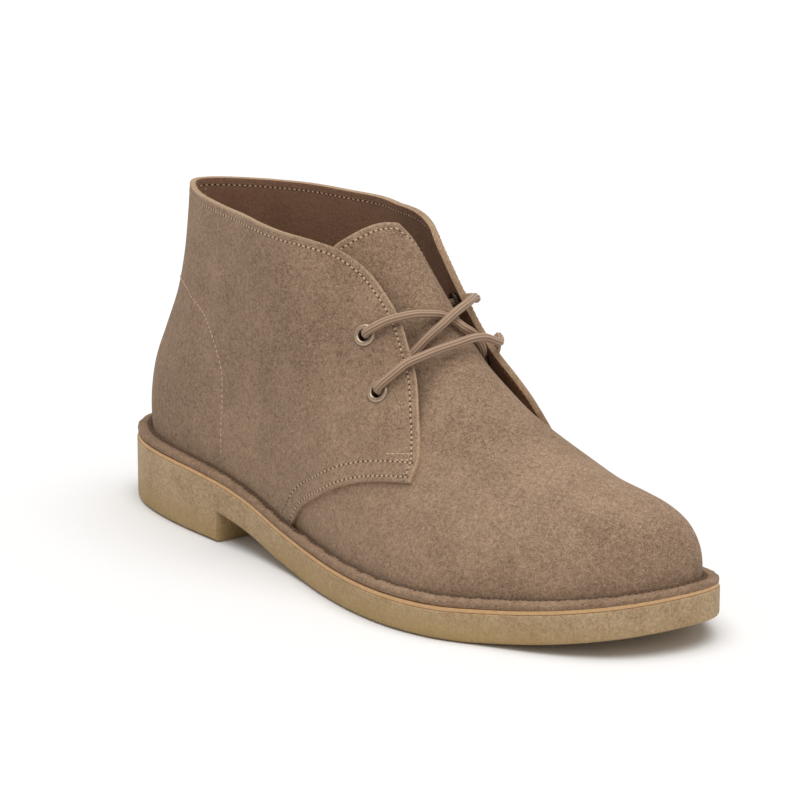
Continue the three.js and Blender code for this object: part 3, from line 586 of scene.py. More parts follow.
class Tree:
    """Short calls for the nodes of one material or group."""

    def __init__(self, tree):
        self.tree = tree

    def link(self, source, target):
        if isinstance(source, (int, float)):
            target.default_value = source
        else:
            self.tree.links.new(source, target)

    def math(self, operation, *values):
        node = self.tree.nodes.new("ShaderNodeMath")
        node.operation = operation
        for value, socket in zip(values, node.inputs):
            self.link(value, socket)
        return node.outputs[0]

    def blend(self, first, second, share):
        """Sum of two values, the first with its share and the second with the rest."""
        return self.math("ADD", self.math("MULTIPLY", first, share), self.math("MULTIPLY", second, 1 - share))

    def ramp(self, value, low, high, to_low=0.0, to_high=1.0):
        node = self.tree.nodes.new("ShaderNodeMapRange")
        node.interpolation_type = "SMOOTHSTEP"
        for name, given in (("Value", value), ("From Min", low), ("From Max", high),
                            ("To Min", to_low), ("To Max", to_high)):
            self.link(given, node.inputs[name])
        return node.outputs[0]

    def noise(self, scale, detail, rough=0.5, distortion=0.0):
        node = self.tree.nodes.new("ShaderNodeTexNoise")
        for name, given in (("Scale", scale), ("Detail", detail), ("Roughness", rough),
                            ("Distortion", distortion)):
            self.link(given, node.inputs[name])
        self.link(self.place(), node.inputs["Vector"])
        return node.outputs["Fac"]

    def place(self):
        node = self.tree.nodes.new("ShaderNodeTexCoord")
        return node.outputs["Object"]

    def attribute(self, name):
        node = self.tree.nodes.new("ShaderNodeAttribute")
        node.attribute_name = name
        return node.outputs["Fac"]

    def group(self, group, **values):
        node = self.tree.nodes.new("ShaderNodeGroup")
        node.node_tree = group
        for name, value in values.items():
            self.link(value, node.inputs[name.replace("_", " ").capitalize()])
        return node.outputs

    def colour(self, factor, dark, light):
        node = self.tree.nodes.new("ShaderNodeMix")
        node.data_type = "RGBA"
        self.link(factor, node.inputs[0])
        for value, socket in ((dark, node.inputs[6]), (light, node.inputs[7])):
            if isinstance(value, tuple):
                socket.default_value = (*value, 1)
            else:
                self.link(value, socket)
        return node.outputs[2]

    def bump(self, height, distance, strength):
        node = self.tree.nodes.new("ShaderNodeBump")
        node.inputs["Distance"].default_value = distance
        node.inputs["Strength"].default_value = strength
        self.link(height, node.inputs["Height"])
        return node.outputs["Normal"]


def linear(red, green, blue):
    """A colour read off as 0 to 255, as the renderer wants it."""
    def one(value):
        value /= 255
        return value / 12.92 if value <= 0.04045 else ((value + 0.055) / 1.055) ** 2.4
    return one(red), one(green), one(blue)


def material(name, rough, **constants):
    made = bpy.data.materials.new(name)
    made.use_nodes = True
    shader = made.node_tree.nodes["Principled BSDF"]
    shader.inputs["Roughness"].default_value = rough
    for socket, value in constants.items():
        shader.inputs[socket.replace("_", " ")].default_value = value
    return made, Tree(made.node_tree), shader


print("node helpers ready")


# %% Group for nap
def make_nap():
    group, given, out = new_group("Nap", [("Grain", 1.0)], ["Shade", "Height"])
    tree = Tree(group)
    fibre = tree.ramp(tree.noise(1500, 2, 0.6, 1.8), 0.36, 0.64)
    tuft = tree.ramp(tree.noise(620, 3, 0.6, 1.0), 0.3, 0.7)
    cloud = tree.ramp(tree.noise(60, 3, 0.55, 0.4), 0.3, 0.7)
    drift = tree.ramp(tree.noise(16, 2, 0.5, 0.3), 0.35, 0.65)
    fine = tree.math("MULTIPLY", tree.blend(fibre, tuft, 0.62), given.outputs["Grain"])
    broad = tree.blend(cloud, drift, 0.5)
    tree.link(tree.blend(fine, broad, 0.75), out.inputs["Shade"])
    tree.link(fine, out.inputs["Height"])
    return group


NAP = make_nap()


# %% Group for stitch holes
def make_stitch_holes():
    group, given, out = new_group(
        "Stitch holes", [("Inset", 0.0), ("Along", 0.0), ("Row", 3.0), ("Pitch", STITCH_PITCH)], ["Hole"])
    tree = Tree(group)
    inset, along, row, pitch = (given.outputs[name] for name in ("Inset", "Along", "Row", "Pitch"))
    aside = tree.math("SUBTRACT", inset, row)
    turn = tree.math("FRACT", tree.math("DIVIDE", along, pitch))
    ahead = tree.math("MULTIPLY", tree.math("SUBTRACT", turn, 0.5), pitch)
    squares = tree.math("ADD", tree.math("MULTIPLY", aside, aside), tree.math("MULTIPLY", ahead, ahead))
    tree.link(tree.ramp(tree.math("SQRT", squares), 0.28, 0.62, 1.0, 0.0), out.inputs["Hole"])
    return group


HOLES = make_stitch_holes()
print(len(bpy.data.node_groups), "node groups")

# %% [markdown]
# Suede is leather with its fibres brushed up. It has almost no gloss, a soft sheen where
# the fibres catch the light, and a colour that shifts with the pile. The rows of needle
# holes belong to it. The cut edges show the paler, denser middle of the hide, and the
# lining inside is a browner, flatter suede.

# %% Suede materials
# Painted shade for the needle holes, darker than the suede around them
HOLE_SHADE = linear(70, 52, 40)


def stitch_holes(tree, rows):
    """Needle holes of several stitch rows, each with its edge and its distance from it."""
    hole = 0.0
    for edge, distance in rows:
        outputs = tree.group(HOLES, inset=tree.attribute(edge + "_in"), along=tree.attribute(edge + "_along"),
                             row=distance, pitch=STITCH_PITCH)
        hole = tree.math("MAXIMUM", hole, outputs["Hole"])
    return hole


def make_suede(name, dark, light, rows=(), hole_shade=HOLE_SHADE, edge_highlight=None, crease_shade=None,
               grain=1.0):
    made, tree, shader = material(
        name, 0.92, Sheen_Weight=0.16, Sheen_Roughness=0.45, Specular_IOR_Level=0.12)
    shader.inputs["Sheen Tint"].default_value = (0.9, 0.75, 0.6, 1)
    nap = tree.group(NAP, grain=grain)
    shade, height = nap["Shade"], nap["Height"]
    # Painted highlight: the suede is lighter within about a millimetre of its cut edge
    if edge_highlight:
        shade = tree.math("ADD", shade, tree.ramp(tree.attribute(edge_highlight), 0.2, 1.3, 0.35, 0.0))
    # Painted shade in the crease where the welt meets the upper, fading out 2.4 mm away
    if crease_shade:
        shade = tree.math("SUBTRACT", shade, tree.ramp(tree.attribute(crease_shade), 0.4, 2.4, 0.95, 0.0))
    colour = tree.colour(shade, dark, light)
    if rows:
        hole = stitch_holes(tree, rows)
        # Painted shade in the needle holes, on top of the real dent
        colour = tree.colour(tree.math("MULTIPLY", hole, 0.8), colour, hole_shade)
        height = tree.math("SUBTRACT", height, tree.math("MULTIPLY", hole, 2.0))
    tree.link(colour, shader.inputs["Base Color"])
    tree.link(tree.bump(height, 0.00022, 0.7), shader.inputs["Normal"])
    return made


SUEDE = linear(104, 81, 63), linear(199, 168, 140)
vamp_suede = make_suede("vamp_suede", *SUEDE, rows=[("edge", ROWS["tongue"])], edge_highlight="edge_in")
quarter_suede = make_suede(
    "quarter_suede", *SUEDE, edge_highlight="edge_in",
    rows=[("edge", ROWS["collar"]), ("front", ROWS["front"]), ("front", ROWS["inner_front"])])
# The welt carries painted shade along its crease against the upper
welt_suede = make_suede("welt_suede", linear(102, 79, 61), linear(190, 158, 130),
                        rows=[("seam", ROWS["welt"])], crease_shade="seam_in")
lining_suede = make_suede("lining_suede", linear(143, 106, 82), linear(196, 155, 127),
                          rows=[("edge", ROWS["collar"])], hole_shade=linear(78, 56, 42), grain=0.7)
cut_edge = make_suede("cut_edge", linear(150, 120, 94), linear(212, 182, 150))
insole_suede = make_suede("insole_suede", linear(92, 70, 54), linear(134, 106, 84), grain=0.6)
print(len(bpy.data.materials), "materials so far")

# %% [markdown]
# Crepe is raw rubber rolled in sheets: honey coloured, waxy and finely crinkled, with
# darker specks. Towards its lower edge it turns a little yellower. The thin leather
# midsole shows only as a bright tan line. The eyelets are brass that has gone dull, with
# painted highlights on their rims, and the lace is a tight round cord.

# %% Rubber, leather, metal and cord materials
def make_crepe():
    made, tree, shader = material("crepe_rubber", 0.62, Specular_IOR_Level=0.35, Subsurface_Weight=0.08,
                                  Subsurface_Scale=0.004)
    crinkle = tree.noise(780, 4, 0.65, 1.2)
    speck = tree.noise(1100, 2, 0.5, 0.4)
    cloud = tree.noise(70, 3)
    split = tree.tree.nodes.new("ShaderNodeSeparateXYZ")
    tree.link(tree.place(), split.inputs[0])
    # Yellower towards the bottom of the sole, fading out 15 mm above it
    low = tree.ramp(split.outputs["Z"], 0.001, 0.015, 1.0, 0.0)
    tone = tree.blend(tree.ramp(crinkle, 0.35, 0.65), tree.ramp(cloud, 0.3, 0.7), 0.7)
    body = tree.colour(tone, linear(160, 131, 95), linear(206, 179, 143))
    body = tree.colour(tree.math("MULTIPLY", tree.ramp(speck, 0.62, 0.78), 0.45), body, linear(128, 98, 60))
    body = tree.colour(tree.math("MULTIPLY", low, 0.6), body, linear(182, 150, 92))
    tree.link(body, shader.inputs["Base Color"])
    tree.link(tree.bump(crinkle, 0.0004, 0.55), shader.inputs["Normal"])
    return made


def make_tan_leather():
    made, tree, shader = material("tan_leather", 0.5)
    fibre = tree.noise(700, 3, 0.6)
    tree.link(tree.colour(fibre, linear(198, 150, 98), linear(240, 198, 146)), shader.inputs["Base Color"])
    tree.link(tree.bump(fibre, 0.0001, 0.4), shader.inputs["Normal"])
    return made


def make_brass():
    made, tree, shader = material("aged_brass", 0.42, Metallic=0.75)
    tarnish = tree.noise(900, 3, 0.6)
    # Painted highlight on the eyelets' rims, broken up by the tarnish
    rim = tree.attribute("rim")
    rim_highlight = tree.math("MULTIPLY", rim, tree.ramp(tarnish, 0.25, 0.6, 0.6, 1.0))
    tree.link(tree.colour(rim_highlight, linear(98, 80, 64), linear(206, 182, 156)), shader.inputs["Base Color"])
    tree.link(tree.ramp(tarnish, 0.2, 0.8, 0.3, 0.55), shader.inputs["Roughness"])
    return made


def make_cord_cotton():
    made, tree, shader = material("cord_cotton", 0.85, Sheen_Weight=0.2, Specular_IOR_Level=0.2)
    # Painted highlight on the crowns of the cord's ribs and painted shade in their grooves
    rib_shading = tree.attribute("rib_shading")
    weave = tree.attribute("weave")
    fuzz = tree.noise(1500, 2)
    tone = tree.blend(rib_shading, fuzz, 0.7)
    tree.link(tree.colour(tone, linear(122, 98, 79), linear(200, 169, 142)), shader.inputs["Base Color"])
    bump = tree.math("SINE", tree.math("MULTIPLY", weave, 2 * math.pi))
    tree.link(tree.bump(bump, 0.00004, 0.4), shader.inputs["Normal"])
    return made


def make_thread():
    made, tree, shader = material("thread", 0.8, Sheen_Weight=0.1, Specular_IOR_Level=0.25)
    ply = tree.noise(1800, 2)
    tree.link(tree.colour(ply, linear(176, 147, 120), linear(232, 203, 174)), shader.inputs["Base Color"])
    tree.link(tree.bump(ply, 0.00008, 0.6), shader.inputs["Normal"])
    return made


crepe_rubber = make_crepe()
tan_leather = make_tan_leather()
aged_brass = make_brass()
cord_cotton = make_cord_cotton()
thread_cotton = make_thread()
print(len(bpy.data.materials), "materials")

# %% [markdown]
# A few helpers do the repeated handwork. `grid` starts from a flat grid and lays its
# corners where a function of (u, v) puts them, and `ring` does so with a torus. `edit` runs
# edit-mode operators, and `finish_with` adds a modifier and applies it. Laying a grid on the
# last is used instead of pulling vertices about, because the fit on the last is what makes
# it look like a boot.

# %% Modelling helpers
def activate(obj):
    bpy.ops.object.select_all(action="DESELECT")
    obj.select_set(True)
    bpy.context.view_layer.objects.active = obj


def read(obj):
    corners = np.empty(len(obj.data.vertices) * 3)
    obj.data.vertices.foreach_get("co", corners)
    return corners.reshape(-1, 3)


def to_scene(points):
    """From millimetres behind the heel's back to the scene's metres."""
    return (np.asarray(points) + (HEEL_X, 0, 0)) * MM


def from_scene(points):
    return np.asarray(points) / MM - (HEEL_X, 0, 0)


def write(obj, points):
    obj.data.vertices.foreach_set("co", to_scene(points).astype(np.float32).ravel())
    obj.data.update()


def points_of(obj):
    return from_scene(read(obj))


def finish_with(obj, kind, **settings):
    activate(obj)
    modifier = obj.modifiers.new(kind.title(), kind)
    for name, value in settings.items():
        setattr(modifier, name, value)
    bpy.ops.object.modifier_apply(modifier=modifier.name)


def edit(obj, *steps):
    """Runs edit-mode operators on the whole mesh."""
    activate(obj)
    bpy.ops.object.mode_set(mode="EDIT")
    bpy.ops.mesh.select_all(action="SELECT")
    for operator, settings in steps:
        operator(**settings)
    bpy.ops.object.mode_set(mode="OBJECT")


def close_seams(obj):
    edit(obj, (bpy.ops.mesh.remove_doubles, dict(threshold=2e-6)),
         (bpy.ops.mesh.normals_make_consistent, dict(inside=False)))


def grid(name, columns, rows, place):
    """A grid laid out by a function that gives a point in millimetres for each u and v."""
    bpy.ops.object.select_all(action="DESELECT")
    bpy.ops.mesh.primitive_grid_add(x_subdivisions=columns, y_subdivisions=rows, size=1)
    obj = bpy.context.object
    obj.name = obj.data.name = name
    flat = read(obj)
    write(obj, place(flat[:, 0] + 0.5, flat[:, 1] + 0.5))
    return obj


def ring(name, around, section, place):
    bpy.ops.object.select_all(action="DESELECT")
    bpy.ops.mesh.primitive_torus_add(major_segments=around, minor_segments=section,
                                     major_radius=2, minor_radius=1)
    obj = bpy.context.object
    obj.name = obj.data.name = name
    flat = read(obj)
    u = np.arctan2(flat[:, 1], flat[:, 0]) / (2 * np.pi) % 1
    v = np.arctan2(flat[:, 2], np.hypot(flat[:, 0], flat[:, 1]) - 2) / (2 * np.pi) % 1
    write(obj, place(u, v))
    close_seams(obj)
    return obj


def measure(obj, name, values):
    kept = obj.data.attributes.get(name) or obj.data.attributes.new(name, "FLOAT", "POINT")
    kept.data.foreach_set("value", np.asarray(values, np.float32))


def run_along(line):
    """Distance along a line at each of its points."""
    return np.concatenate([[0], np.cumsum(np.linalg.norm(np.diff(line, axis=0), axis=1))])


def walk(line, run, way):
    """Points of a line at distances along it."""
    return np.stack([np.interp(way, run, line[:, k]) for k in range(line.shape[1])], -1)


def nearest(points, targets):
    """For each point, the number of the nearest target and the distance to it."""
    tree = KDTree(len(targets))
    for k, target in enumerate(targets):
        tree.insert(target, k)
    tree.balance()
    found = [tree.find(p) for p in points]
    return np.array([index for _, index, _ in found]), [distance for _, _, distance in found]


def measure_from(obj, name, lines):
    """Keeps on each corner its distance from the nearest of some lines and the way along it."""
    near, away = nearest(points_of(obj), np.concatenate(lines))
    measure(obj, name + "_in", away)
    measure(obj, name + "_along", np.concatenate([run_along(line) for line in lines])[near])


def dress(obj, slot, *materials, angle=40):
    slots = obj.data.materials
    while len(slots) < len(materials):
        slots.append(None)
    for k, made in enumerate(materials):
        slots[k] = made
    activate(obj)
    bpy.ops.object.shade_smooth_by_angle(angle=math.radians(angle))
    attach(obj, "root")
    print(obj.name, len(obj.data.polygons), "faces")


print("modelling helpers ready")

# %% [markdown]
# The sole is three layers with the same outline. Each is one closed tube of sections along
# the boot: the section runs out across the bottom, round the lower edge, up the side, round
# the upper edge and back across the top. The sections crowd together at heel and toe, and
# a pair of them stands on the heel's breast, so its front face is sharp.

# %% Sole layers
SOLE_STATIONS = 150
# Angles of the rounded edges' steps, and shares of the side's height
LOWER_ROUND = (0.4, 0.8, 1.2, 1.57)
UPPER_ROUND = (0, 0.5, 1.0, 1.57)
SIDE_STEPS = (0.35, 0.5, 0.65, 0.8)


def sole_stations(u):
    """Even stations, with some moved on to the heel's breast."""
    a = np.asarray(u, float).copy()
    breast = HEEL_BREAST * LENGTH
    marks = [breast - 1.6, breast - 0.8, breast - 0.3, breast, breast + BREAST_SLOPE]
    at_breast = round(float(station(HEEL_BREAST)) * SOLE_STATIONS)
    steps = np.rint(a * SOLE_STATIONS).astype(int)
    for k, x in enumerate(marks):
        a[steps == at_breast - 3 + k] = station(x / LENGTH)
    return a


def layer(name, profile, bottom, top):
    """profile rows: across share, inset, share of the thickness, millimetres added to the height."""
    rows = np.array(profile, float)
    count = len(rows) - 1

    def place(u, v):
        a = sole_stations(u)
        k = np.rint(v * 2 * count).astype(int)
        lateral = k <= count
        across, inset, rise, lift = rows[np.where(lateral, k, 2 * count - k)].T
        sign = np.where(lateral, 1, -1)
        nominal = LENGTH * share_at(a)
        x, y_near = outline(sign * a, inset)
        _, y_far = outline(-sign * a, inset)
        middle = (y_near + y_far) / 2
        z = mix(bottom(nominal), top(nominal), rise) + lift
        return np.stack([x, mix(middle, y_near, across), z], -1)

    obj = grid(name, SOLE_STATIONS, 2 * count, place)
    close_seams(obj)
    return obj


def rounded_layer(inset, low, high, spans=6):
    """A profile with its lower and upper edges rounded."""
    rows = [(k / spans, inset + low, 0, 0) for k in range(spans + 1)]
    rows += [(1, inset + low * (1 - math.sin(t)), 0, low * (1 - math.cos(t))) for t in LOWER_ROUND]
    rows += [(1, inset, share, 0) for share in SIDE_STEPS]
    rows += [(1, inset + high * (1 - math.cos(t)), 1, -high * (1 - math.sin(t))) for t in UPPER_ROUND]
    rows += [(k / spans, inset + high, 1, 0) for k in range(spans - 1, -1, -1)]
    return rows


def make_outsole():
    obj = layer("crepe_outsole", rounded_layer(0.0, 1.6, 0.4), sole_bottom, sole_top)
    dress(obj, "crepe", crepe_rubber, angle=50)
    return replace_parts(obj, "outsole")


def make_midsole():
    def bottom(x):
        return sole_top(x) + GAP / 3

    def top(x):
        return sole_top(x) + GAP + MIDSOLE

    obj = layer("tan_midsole", rounded_layer(0.35, 0.2, 0.2), bottom, top)
    dress(obj, "tan_leather", tan_leather)
    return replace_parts(obj, "midsole")


def make_insole():
    profile = rounded_layer(WELT_WIDTH + VAMP_WALL + 4 * GAP, 0.3, 0.6, 10)
    obj = layer("insole_board", profile, feather, lambda x: feather(x) + INSOLE)
    dress(obj, "insole_leather", insole_suede)
    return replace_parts(obj, "insole")


make_outsole()
make_midsole()
make_insole()

# %% [markdown]
# The welt is a strip of suede rolled over a core and stitched down hard against the upper.
# Its section is a torus section laid between the upper's wall and the sole's edge, with a
# groove along the top where the stitches pull it in. Between heel and ball the strip is
# gathered, so it is puckered there.

# %% Welt
WELT_SECTION = table("turn out rise", [
    (0.00, 1.00, 0.42),
    (0.08, 0.985, 0.66),
    (0.15, 0.90, 0.86),
    (0.22, 0.74, 0.98),
    (0.29, 0.56, 1.00),
    (0.34, 0.42, 0.93),
    (0.39, 0.28, 0.95),
    (0.45, 0.12, 1.02),
    (0.50, 0.00, 0.95),
    (0.62, 0.00, 0.50),
    (0.75, 0.00, 0.02),
    (0.82, 0.40, 0.00),
    (0.89, 0.86, 0.00),
    (0.95, 0.965, 0.16),
    (1.00, 1.00, 0.42),
])
# Gathers in the boot's length, and how far they lift and push out the strip
GATHERS = dict(close=58, wide=37, lift=0.55, push=0.05)


def welt_inner(loop, rise):
    """The upper's outer wall at a height above the feather edge, cleared by a gap."""
    medial = loop < 0
    a = np.abs(loop)
    s = section_at(a, medial)
    t = turn_at(a, medial, s["floor"] + rise)
    quarter_end = FRONT_EDGE["at"][0]
    wall = quarter_step(s["share"]) * (1 - smooth(quarter_end + 0.024, quarter_end + 0.042, s["share"]))
    a, t = fold(a, t)
    n = normal(a, t)
    n[:, 2] = 0
    p = last(a, t) + unit(n) * (wall + GAP)[:, None]
    p[:, 2] = s["floor"] + rise
    return p


def pucker(share):
    """Gathers of the welt strip, strongest from the waist to the ball."""
    strength = 0.75 * smooth(0.2, 0.42, share) * (1 - smooth(0.72, 0.9, share)) + 0.35
    close, wide = 2 * np.pi * GATHERS["close"] * share, 2 * np.pi * GATHERS["wide"] * share
    return strength * (np.sin(close) * 0.65 + np.sin(wide + 1.3) * 0.35)


def make_welt():
    def place(u, v):
        loop = 2 * u - 1
        out = np.interp(v, WELT_SECTION["turn"], WELT_SECTION["out"])
        rise = np.interp(v, WELT_SECTION["turn"], WELT_SECTION["rise"]) * WELT_HEIGHT
        share = share_at(loop)
        free = smooth(0.0, 0.3, out) * smooth(0.05, 0.5, rise / WELT_HEIGHT)
        gather = pucker(share) * free
        inner = welt_inner(loop, rise)
        x, y = outline(loop, 0.25)
        outer = np.stack([x, y, inner[:, 2]], -1)
        p = mix(inner, outer, (out * (1 + GATHERS["push"] * gather))[:, None])
        p[:, 2] += GATHERS["lift"] * gather
        return p

    obj = ring("suede_welt", 420, 28, place)
    loop = np.linspace(-1, 1, 1200)
    measure_from(obj, "seam", [welt_inner(loop, np.full_like(loop, WELT_HEIGHT))])
    dress(obj, "suede", welt_suede)
    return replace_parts(obj, "welt")


make_welt()

# %% [markdown]
# Vamp and tongue are one piece of suede on this boot. It is a grid from the toe back under
# the quarters, and in the middle on to the tongue's rounded top. The tongue sinks at both
# sides, as a soft tongue does between stiffer facings. Solidify gives the hide its real
# thickness, and a bevel rounds its cut rim, which is found by its material.

# %% Wall and rim of the hide
def give_wall(obj, wall):
    """Thickens a skin inwards. Skin, inner side and cut rim take the materials 0, 1 and 2."""
    for _ in range(3):
        obj.data.materials.append(None)
    finish_with(obj, "SOLIDIFY", thickness=wall * MM, offset=-1, use_even_offset=False,
                material_offset=1, material_offset_rim=2)


def soften_rim(obj, width):
    """Rounds the edges between the cut rim and both faces."""
    mesh = obj.data
    sides = {}
    for polygon in mesh.polygons:
        for key in polygon.edge_keys:
            sides.setdefault(key, set()).add(polygon.material_index == 2)
    edit(obj, (bpy.ops.mesh.select_mode, dict(type="EDGE")),
         (bpy.ops.mesh.select_all, dict(action="DESELECT")))
    for edge in mesh.edges:
        edge.select = len(sides[edge.key]) == 2
    bpy.ops.object.mode_set(mode="EDIT")
    bpy.ops.mesh.bevel(offset=width * MM, segments=2, affect="EDGES", clamp_overlap=True)
    bpy.ops.mesh.select_mode(type="VERT")
    bpy.ops.object.mode_set(mode="OBJECT")


RIM_ROUND = dict(vamp=0.35, quarters=0.4)
print("the rim is rounded by", list(RIM_ROUND.values()), "mm")

# %% Vamp and tongue
VAMP_COLUMNS = 130
VAMP_ROWS = 110
# Soft dents of the suede: share, turn, breadth as a share, reach in turns and depth in mm
DENTS = [
    (0.735, 0.42, 0.030, 0.22, 0.5),
    (0.700, 1.52, 0.035, 0.20, 0.6),
    (0.800, 0.30, 0.050, 0.10, -0.35),
    (0.765, 0.72, 0.028, 0.20, -0.3),
    (0.845, 1.30, 0.040, 0.20, 0.3),
    (0.905, 0.62, 0.030, 0.18, 0.3),
]


def dents(share, t):
    total = np.zeros_like(share)
    for at, turn, breadth, reach, depth in DENTS:
        total -= depth * np.exp(-(((share - at) / breadth) ** 2) - ((t - turn) / reach) ** 2)
    return total * (1 - smooth(0.93, 0.98, share))


def rear_share(t):
    """Rear edge of the piece: under the quarters at the sides, the tongue's top in the middle."""
    turn = np.minimum(t, 2 - t)
    side = column(VAMP_REAR, "around", "at", turn)
    around = TONGUE_TOP["around"]
    top = column(TONGUE_TOP, "around", "at", np.clip(t, around[0], around[-1]))
    return mix(side, top, smooth(0.36, 0.45, turn))


def tongue_sink(share, t):
    turn = np.minimum(t, 2 - t)
    depth = mix(TONGUE_SINK["top"], TONGUE_SINK["lacing"], smooth(0.50, 0.545, share))
    beside = (1 - smooth(0.55, 0.85, turn)) * smooth(0.3, 0.45, turn)
    return depth * (1 - smooth(0.595, 0.655, share)) * beside


def make_vamp():
    def place(u, v):
        t = 2 * v
        a = mix(station(rear_share(t)), 1.0, u)
        share = share_at(a)
        return off(a, t, dents(share, t) - tongue_sink(share, t))

    obj = grid("suede_vamp", VAMP_COLUMNS, VAMP_ROWS, place)
    edit(obj, (bpy.ops.mesh.remove_doubles, dict(threshold=2e-6)))
    give_wall(obj, VAMP_WALL)
    soften_rim(obj, RIM_ROUND["vamp"])
    return obj


def tongue_line(depth):
    t = np.linspace(0.5, 1.5, 500)
    share = rear_share(t)
    return off(station(share), t, -tongue_sink(share, t) - depth)


vamp = make_vamp()
measure_from(vamp, "edge", [tongue_line(0.0), tongue_line(VAMP_WALL)])
dress(vamp, "suede", vamp_suede, lining_suede, cut_edge, angle=60)
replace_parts(vamp, "upper", "tongue")

# %% [markdown]
# The two quarters are cut as one piece here, joined at the back seam. Their pattern is a
# patch between four lines: the bottom, the collar, the back seam and the facing edge. Each
# corner of the grid is placed by blending these lines and then looked up on the last. Rows
# are closer near the edges, so that the cut edge runs smoothly.

# %% The quarters' pattern
QUARTER_COLUMNS = 130
QUARTER_ROWS_COUNT = 72
BACK_SHARE = 0.62
EDGE_STEPS = 420


def pattern_line(rows, medial):
    return np.stack([rows["at"] * LENGTH, rows["medial" if medial else "lateral"] * HEIGHT], -1)


def along_line(points, u):
    run = run_along(points)
    d = u * run[-1]
    return np.stack([station(curve(run, points[:, 0], d) / LENGTH), curve(run, points[:, 1], d)], -1)


def quarter_bottom(u, medial):
    corner = float(station(FRONT_EDGE["at"][0]))
    a = corner * np.minimum(u / BACK_SHARE, 1)
    rear = np.stack([a, section_at(a, medial)["floor"]], -1)
    line = pattern_line(FRONT_EDGE, medial)
    line[0, 1] = section_at(np.array(corner), medial)["floor"]
    front = along_line(line, np.clip((u - BACK_SHARE) / (1 - BACK_SHARE), 0, 1))
    return np.where((u <= BACK_SHARE)[:, None], rear, front)


def quarter_top(u, medial):
    a = station(COLLAR["at"][-1]) * u
    return np.stack([a, side_column(COLLAR, medial, share_at(a)) * HEIGHT], -1)


def quarter_pattern(u, v, medial):
    zero, one = np.zeros_like(u), np.ones_like(u)
    bottom, top = quarter_bottom(u, medial), quarter_top(u, medial)
    front = along_line(pattern_line(FACING, medial)[::-1], v)
    heel_low, heel_high = quarter_bottom(zero, medial), quarter_top(zero, medial)
    front_low, front_high = quarter_bottom(one, medial), quarter_top(one, medial)
    u, v = u[:, None], v[:, None]
    heel = mix(heel_low, heel_high, v)
    ruled = mix(bottom, top, v) + mix(heel, front, u)
    return ruled - mix(heel, mix(front_low, front_high, v), u)


# %% Folds of the quarters
# Soft folds: whether medial, share and height share at both ends, breadth and depth in mm
FOLDS = [
    (False, 0.035, 0.90, 0.060, 0.45, 5.0, 0.7),
    (False, 0.095, 0.93, 0.120, 0.50, 5.0, -0.5),
    (False, 0.150, 0.88, 0.170, 0.55, 6.0, 0.5),
    (False, 0.330, 0.42, 0.450, 0.62, 9.0, 0.6),
    (False, 0.250, 0.30, 0.400, 0.40, 9.0, -0.5),
    (True, 0.060, 0.85, 0.090, 0.45, 6.0, 0.6),
    (True, 0.300, 0.45, 0.430, 0.60, 9.0, 0.7),
]


def folds(a, z, medial):
    x = share_at(a) * LENGTH
    total = np.zeros_like(x)
    for side, at0, level0, at1, level1, breadth, depth in FOLDS:
        start = np.array([at0 * LENGTH, level0 * HEIGHT])
        way = np.array([at1 * LENGTH, level1 * HEIGHT]) - start
        reach = np.hypot(*way)
        dx, dz = x - start[0], z - start[1]
        ahead = (dx * way[0] + dz * way[1]) / reach
        aside = (dx * way[1] - dz * way[0]) / reach
        fade = smooth(-15, 10, ahead) * (1 - smooth(reach - 10, reach + 15, ahead))
        total -= np.where(medial == side, depth * np.exp(-((aside / breadth) ** 2)) * fade, 0)
    return total


# %% Quarters
def on_quarter(a, t, depth=0.0):
    """Point of the quarters at a depth under their outer skin."""
    return off(a, t, quarter_step(share_at(a)) + stand_off(a, t) - depth)


def edge_line(medial, depth=0.0):
    """The collar and facing edge of one side."""
    u = np.linspace(0, 1, EDGE_STEPS)
    collar = quarter_top(u, medial)
    front = along_line(pattern_line(FACING, medial), u[1:])
    a, z = np.concatenate([collar, front]).T
    return on_quarter(a, turn_at(a, medial, z), depth)


def front_line(medial, depth=0.0):
    """The lower front edge of one side, from the welt to the facing's corner."""
    a, z = quarter_bottom(np.linspace(BACK_SHARE, 1, EDGE_STEPS), medial).T
    return on_quarter(a, turn_at(a, medial, z), depth)


def spacing(w, low, high):
    """Rows closer together near both edges."""
    return np.interp(w, [0, low, 1 - high, 1], [0, 0.7 * low, 1 - 0.55 * high, 1])


def make_quarters():
    def place(u, v):
        side = 2 * u - 1
        medial = side < 0
        w = np.interp(np.abs(side), [0, 0.93, 1], [0, 0.955, 1])
        rows = spacing(v, 0.2, 0.12)
        a, z = np.where(medial, quarter_pattern(w, rows, True).T, quarter_pattern(w, rows, False).T)
        low = (v == 0) & (w <= BACK_SHARE)
        t = np.where(low, np.where(medial, 2.0, 0.0), turn_at(a, medial, z))
        ease = smooth(0, 12, z - section_at(a, medial)["floor"])
        return on_quarter(a, t, -folds(a, z, medial) * ease)

    obj = grid("suede_quarters", 2 * QUARTER_COLUMNS, QUARTER_ROWS_COUNT, place)
    give_wall(obj, QUARTER_WALL)
    return obj


def measure_quarters(obj):
    for name, line in (("edge", edge_line), ("front", front_line)):
        lines = [line(medial, depth) for medial in (False, True) for depth in (0.0, QUARTER_WALL)]
        measure_from(obj, name, lines)


quarters = make_quarters()
print("quarters", len(quarters.data.polygons), "faces")

# %% [markdown]
# Each eyelet goes through a punched hole. The holes are cut with short cylinders by one
# boolean per eyelet, and only then is the cut rim of the suede rounded.

# %% Eyelet places and holes
PUNCH_LENGTH = 12


